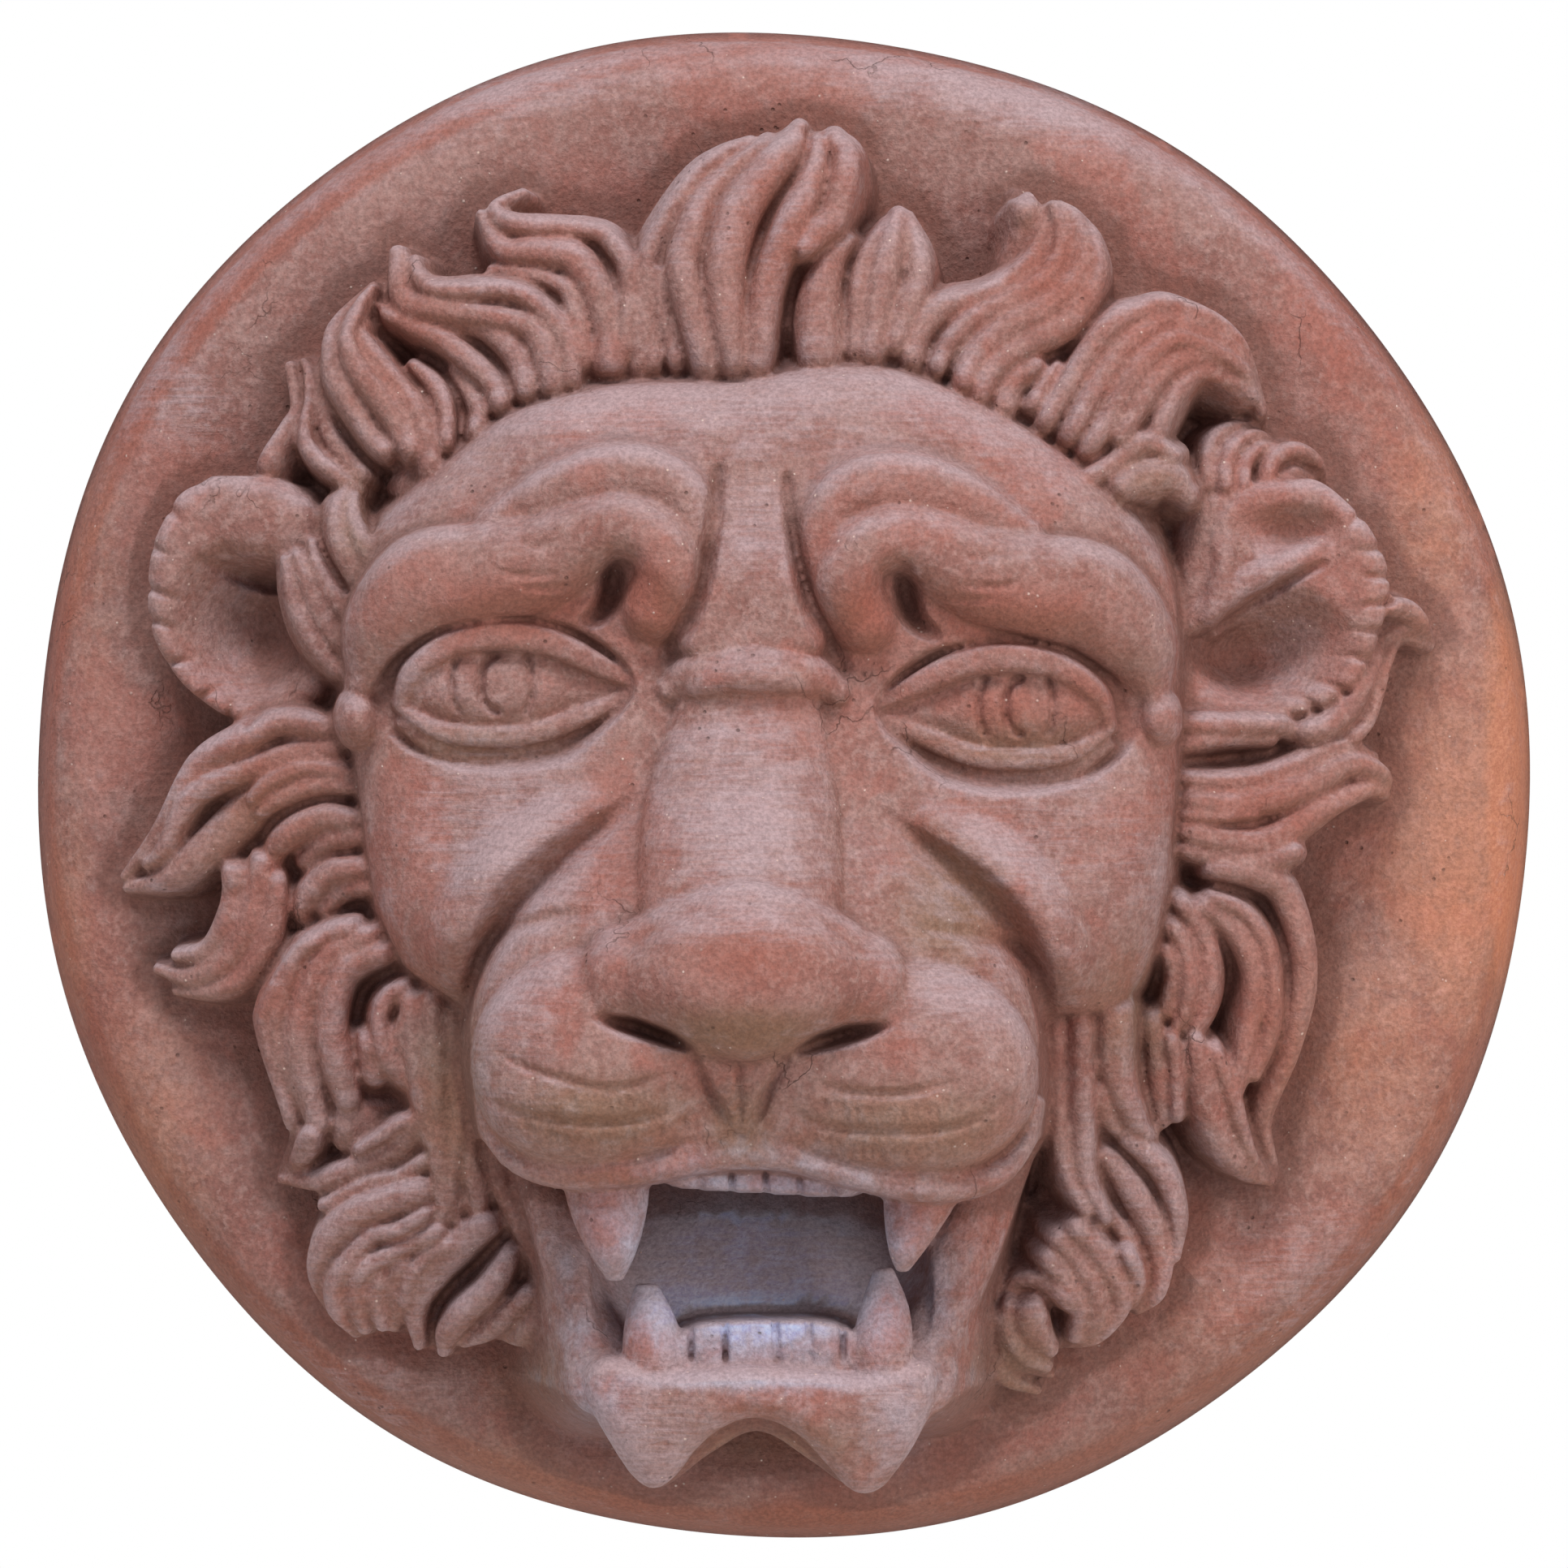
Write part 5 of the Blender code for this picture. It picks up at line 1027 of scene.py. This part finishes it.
def store(mesh, name, values):
    attribute = mesh.attributes.new(name, "FLOAT", "POINT")
    attribute.data.foreach_set("value", np.clip(values, 0, 1).astype(np.float32))


def survey(mesh, layers):
    """Keeps on each point what its colour depends on: how proud or deep it lies, and the patches there."""
    sheet = layers[0][0]
    height = np.maximum(np.maximum.reduce([layer[0].height for layer in layers]), 0)
    place = np.zeros(3 * len(mesh.vertices))
    mesh.vertices.foreach_get("co", place)
    place = place.reshape(-1, 3)
    level = -place[:, 1] / RISE
    draft = UNIT * (1 + place[:, 1] / DRAFT_DISTANCE)
    x, y = SHEET_CENTRE[0] + place[:, 0] / draft, SHEET_CENTRE[1] - place[:, 2] / draft
    cells = 1 / sheet.step
    near = read_grid(sheet, blurred(height, max(1, round(NEAR_REACH * cells))), x, y)
    wide = read_grid(sheet, blurred(height, round(WIDE_REACH * cells)), x, y)
    to_rim = SHEET_ACROSS / 2 - np.hypot(x - SHEET_CENTRE[0], y - SHEET_CENTRE[1])
    on_plate = ease((to_rim - RIM_MARGIN) / RIM_FADE)
    # How far a point lies under an overhang: it darkens the colour below as painted shade.
    hidden = np.clip(read_grid(sheet, height, x, y) - level - 2, 0, None)
    # How proud a point stands: it feeds the bloom, which is partly a painted highlight on the ridges.
    store(mesh, "proud", (level - near) / 3 + 0.1)
    # Painted shade in narrow clefts and under overhangs.
    store(mesh, "cleft", ((near - level) / 3.5 - 0.05 + hidden / 12) * on_plate)
    # Painted shade in the wide hollows and painted shadow under the locks.
    store(mesh, "sunk", ((wide - level) / 22 + hidden / 30) * on_plate)
    for name, spots in PATCHES.items():
        store(mesh, name, patches(x, y, spots) + (RIM_RED * (1 - on_plate) if name == "red" else 0))


class Nodes:
    """A small hand for wiring shader nodes."""

    def __init__(self, material):
        material.use_nodes = True
        self.tree = material.node_tree
        self.tree.nodes.clear()

    def put(self, kind, inputs=None, **settings):
        node = self.tree.nodes.new(kind)
        for name, value in settings.items():
            setattr(node, name, value)
        for name, value in (inputs or {}).items():
            self.feed(node.inputs[name], value)
        return node

    def feed(self, socket, value):
        if isinstance(value, bpy.types.NodeSocket):
            self.tree.links.new(value, socket)
        else:
            socket.default_value = value

    def math(self, operation, a, b):
        return self.put("ShaderNodeMath", {0: a, 1: b}, operation=operation).outputs[0]

    def times(self, a, b):
        return self.math("MULTIPLY", a, b)

    def plus(self, a, b, share):
        """The first, and this share of the second."""
        return self.math("ADD", a, self.times(b, share))

    def varied(self, value, noise, size):
        """The value, strayed both ways by a noise."""
        return self.plus(value, self.math("SUBTRACT", noise, 0.5), size)

    def blend(self, factor, a, b, mode="MIX"):
        node = self.put("ShaderNodeMix", data_type="RGBA", blend_type=mode, clamp_factor=True)
        for socket, value in zip((node.inputs[0], node.inputs[6], node.inputs[7]), (factor, a, b)):
            self.feed(socket, value)
        return node.outputs[2]

    def tint(self, colour, mask, strength, screen_colour):
        return self.blend(self.times(mask, strength), colour, srgb(*screen_colour))

    def ramp(self, value, low, high):
        """Nought below low, one above high."""
        node = self.put("ShaderNodeMapRange", {0: value, 1: low, 2: high}, interpolation_type="SMOOTHSTEP")
        return node.outputs[0]

    def attribute(self, name):
        return self.put("ShaderNodeAttribute", attribute_name=name).outputs["Fac"]

    def noise(self, place, scale, detail, roughness, distortion=0.0):
        inputs = {"Scale": scale, "Detail": detail, "Roughness": roughness, "Distortion": distortion}
        return self.put("ShaderNodeTexNoise", {"Vector": place, **inputs}).outputs["Fac"]

    def stretched(self, place, scale, turn=(0, 0, 0)):
        return self.put("ShaderNodeMapping", {"Vector": place, "Scale": scale, "Rotation": turn}).outputs[0]

    def show(self, inputs):
        shader = self.put("ShaderNodeBsdfPrincipled", inputs)
        self.put("ShaderNodeOutputMaterial", {"Surface": shader.outputs[0]})


def srgb(red, green, blue):
    """A colour as a screen shows it, from 0 to 255, in the linear numbers that a shader takes."""
    share = [v / 255 for v in (red, green, blue)]
    return (*((v / 12.92 if v <= 0.04045 else ((v + 0.055) / 1.055) ** 2.4) for v in share), 1)


def weathered_terracotta():
    """Fired clay: red where it was rubbed, a pinkish bloom where it stands proud and faces up that is partly
    a painted highlight, painted shade in clefts, hollows and under overhangs, and painted warm shade on the
    undersides.
    """
    material = bpy.data.materials.new("weathered_terracotta")
    n = Nodes(material)
    place = n.put("ShaderNodeTexCoord").outputs["Object"]
    proud, cleft, sunk, bloom = (n.attribute(name) for name in ("proud", "cleft", "sunk", "bloom"))
    cloud = n.noise(place, 38, 5, 0.62, 0.3)
    mottle = n.noise(place, 120, 5, 0.68, 0.4)
    sand = n.noise(place, 330, 3, 0.6)
    grain = n.noise(place, 700, 3, 0.7)
    strokes = n.noise(n.stretched(place, (60, 60, 620)), 1, 4, 0.65, 0.6)
    slanted = n.noise(n.stretched(place, (70, 70, 520), (0, 0.75, 0)), 1, 4, 0.65, 0.6)

    up = n.put("ShaderNodeSeparateXYZ", {0: n.put("ShaderNodeNewGeometry").outputs["Normal"]}).outputs["Z"]
    colour = n.blend(n.ramp(cloud, 0.34, 0.66), srgb(*CLAY_DEEP), srgb(*CLAY_MID))
    colour = n.tint(colour, n.ramp(mottle, 0.42, 0.72), 0.55, CLAY_PALE)
    colour = n.tint(colour, n.ramp(sand, 0.5, 0.66), 0.55, CLAY_PALE)
    colour = n.tint(colour, n.ramp(sand, 0.5, 0.34), 0.5, CLAY_DEEP)
    colour = n.tint(colour, n.ramp(n.noise(place, 21, 4, 0.62, 0.3), 0.48, 0.6), 0.36, FLUSH)
    for name, shade, strength in WASHES:
        colour = n.tint(colour, n.ramp(n.varied(n.attribute(name), mottle, 0.7), 0.0, 0.9), strength, shade)
    # Painted warm shade on faces that look down.
    colour = n.tint(colour, n.ramp(up, -0.1, -0.75), 0.4, UNDERSIDE_SHADE)
    brushed = n.times(n.math("SUBTRACT", strokes, 0.5), n.math("ADD", bloom, 0.25))
    # The bloom mask: partly lime bloom, partly a painted highlight where the clay stands proud and where it
    # faces up.
    bloom_and_highlight_mask = n.times(bloom, 0.5)
    shares = ((proud, 0.3), (n.ramp(up, 0.0, 0.8), 0.4), (n.attribute("red"), -0.3), (brushed, 1.1))
    for part, share in shares:
        bloom_and_highlight_mask = n.plus(bloom_and_highlight_mask, part, share)
    bloom_and_highlight_mask = n.varied(n.varied(bloom_and_highlight_mask, slanted, 0.35), mottle, 0.6)
    colour = n.tint(colour, n.ramp(bloom_and_highlight_mask, 0.12, 0.85), 0.82, BLOOM_AND_HIGHLIGHT)
    # Painted shade in clefts and under overhangs.
    colour = n.tint(colour, n.ramp(n.varied(cleft, mottle, 0.7), 0.15, 0.9), 0.6, CLEFT_SHADE)
    # Painted shade in the wide hollows and painted shadow under the locks.
    colour = n.tint(colour, n.ramp(n.varied(sunk, cloud, 0.8), 0.3, 1.2), 0.15, RECESS_SHADE)
    colour = n.tint(colour, n.ramp(n.noise(place, 14, 3, 0.55), 0.4, 0.7), 0.15, CLAY_MID)

    grit = n.put("ShaderNodeTexVoronoi", {"Vector": place, "Scale": 260.0}).outputs["Distance"]
    specks = n.ramp(grit, n.times(n.noise(place, 90, 2, 0.5), 0.3), 0.04)
    specks = n.times(specks, n.ramp(cloud, 0.46, 0.56))
    specks = n.times(specks, n.ramp(n.noise(place, 210, 1, 0.5), 0.52, 0.6))
    colour = n.tint(colour, specks, 0.85, LIME_SPECK)
    holes = n.put("ShaderNodeTexVoronoi", {"Vector": place, "Scale": 240.0}).outputs["Distance"]
    pits = n.times(n.ramp(holes, 0.2, 0.06), n.ramp(n.noise(place, 70, 2, 0.5), 0.6, 0.68))
    colour = n.tint(colour, pits, 0.55, PIT_DARK)
    sway = n.put("ShaderNodeTexNoise", {"Vector": place, "Scale": 110.0, "Detail": 3.0}).outputs["Color"]
    stray = {0: sway, 1: (0.014, 0.014, 0.014), 2: place}
    strayed = n.put("ShaderNodeVectorMath", stray, operation="MULTIPLY_ADD").outputs[0]
    crazing = n.put("ShaderNodeTexVoronoi", {"Vector": strayed, "Scale": 36.0}, feature="DISTANCE_TO_EDGE")
    cracked = n.times(n.ramp(n.noise(place, 24, 2, 0.5), 0.6, 0.7), n.ramp(bloom, 0.5, 0.1))
    cracks = n.times(n.ramp(crazing.outputs["Distance"], 0.013, 0.0), cracked)
    colour = n.tint(colour, cracks, 0.5, PIT_DARK)
    grained = n.blend(n.ramp(grain, 0.3, 0.7), srgb(*GRAIN_DARK), srgb(*GRAIN_PALE))
    colour = n.blend(0.55, colour, grained, "OVERLAY")

    relief = n.times(mottle, 0.0011)
    depths = ((grain, 0.0004), (brushed, 0.0006), (specks, 0.0003), (sand, 0.0008), (pits, -0.0009),
              (cracks, -0.0006))
    for part, depth in depths:
        relief = n.plus(relief, part, depth)
    bump = n.put("ShaderNodeBump", {"Strength": 0.75, "Distance": 1.0, "Height": relief})
    rough = n.math("ADD", n.times(grain, 0.16), 0.76)
    n.show({"Base Color": colour, "Roughness": rough, "Normal": bump.outputs[0], "Specular IOR Level": 0.25})
    return material


def lay_floor():
    """A matt studio floor with a faint unevenness."""
    material = bpy.data.materials.new("pale_floor")
    n = Nodes(material)
    place = n.put("ShaderNodeTexCoord").outputs["Object"]
    tone = n.blend(n.noise(place, 3, 3, 0.5), *(srgb(*tone) for tone in FLOOR_TONES))
    n.show({"Base Color": tone, "Roughness": 0.9})
    shape = bmesh.new()
    bmesh.ops.create_grid(shape, x_segments=8, y_segments=8, size=FLOOR_SIZE / 2)
    floor = placed_object("studio_floor", mesh_of(shape, "studio_floor"), (0, 0, FLOOR_LEVEL))
    floor.data.materials.append(material)


def hang_light(name, place, size, power, colour):
    data = bpy.data.lights.new(name, "AREA")
    data.shape = "RECTANGLE"
    data.size, data.size_y = size
    data.energy = power
    data.color = colour
    placed_object(name, data, place, (-Vector(place)).to_track_quat("-Z", "Y").to_euler())


def light_the_sky():
    """Soft even daylight: dim where it lights, and white where it is seen."""
    world = bpy.data.worlds.new("daylight")
    bpy.context.scene.world = world
    n = Nodes(world)
    seen = n.put("ShaderNodeLightPath").outputs["Is Camera Ray"]
    lights = n.put("ShaderNodeBackground", {"Color": SKY_COLOUR, "Strength": SKY_STRENGTH}).outputs[0]
    shows = n.put("ShaderNodeBackground", {"Color": (1, 1, 1, 1), "Strength": BACKDROP_STRENGTH}).outputs[0]
    either = n.put("ShaderNodeMixShader", {0: seen, 1: lights, 2: shows})
    n.put("ShaderNodeOutputWorld", {0: either.outputs[0]})


def place_camera():
    data = bpy.data.cameras.new("photograph")
    data.sensor_width = SENSOR_WIDTH
    data.lens = SENSOR_WIDTH * DRAFT_DISTANCE / (PHOTO_WIDTH * UNIT)
    place = (0, -DRAFT_DISTANCE, -UNIT * (PHOTO_WIDTH / 2 - SHEET_CENTRE[1]))
    bpy.context.scene.camera = placed_object("photograph", data, place, (math.pi / 2, 0, 0))


def build_roundel():
    layers = carve()
    solids = [solid_of_sheet(*layer) for layer in layers]
    clay = joined(solids + [long_tooth(points) for points in LONG_TEETH])
    mesh = cut_back_flat(fused(clay))
    mesh.name = "lion_roundel_clay"
    survey(mesh, layers)
    mesh.shade_smooth()
    mesh.materials.append(weathered_terracotta())
    roundel = placed_object("lion_roundel_clay", mesh)
    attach(roundel, "root")
    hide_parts("lion_roundel")


bpy.context.scene.view_settings.view_transform = "Standard"
place_camera()
build_roundel()
lay_floor()
light_the_sky()
for light in LIGHTS:
    hang_light(*light)
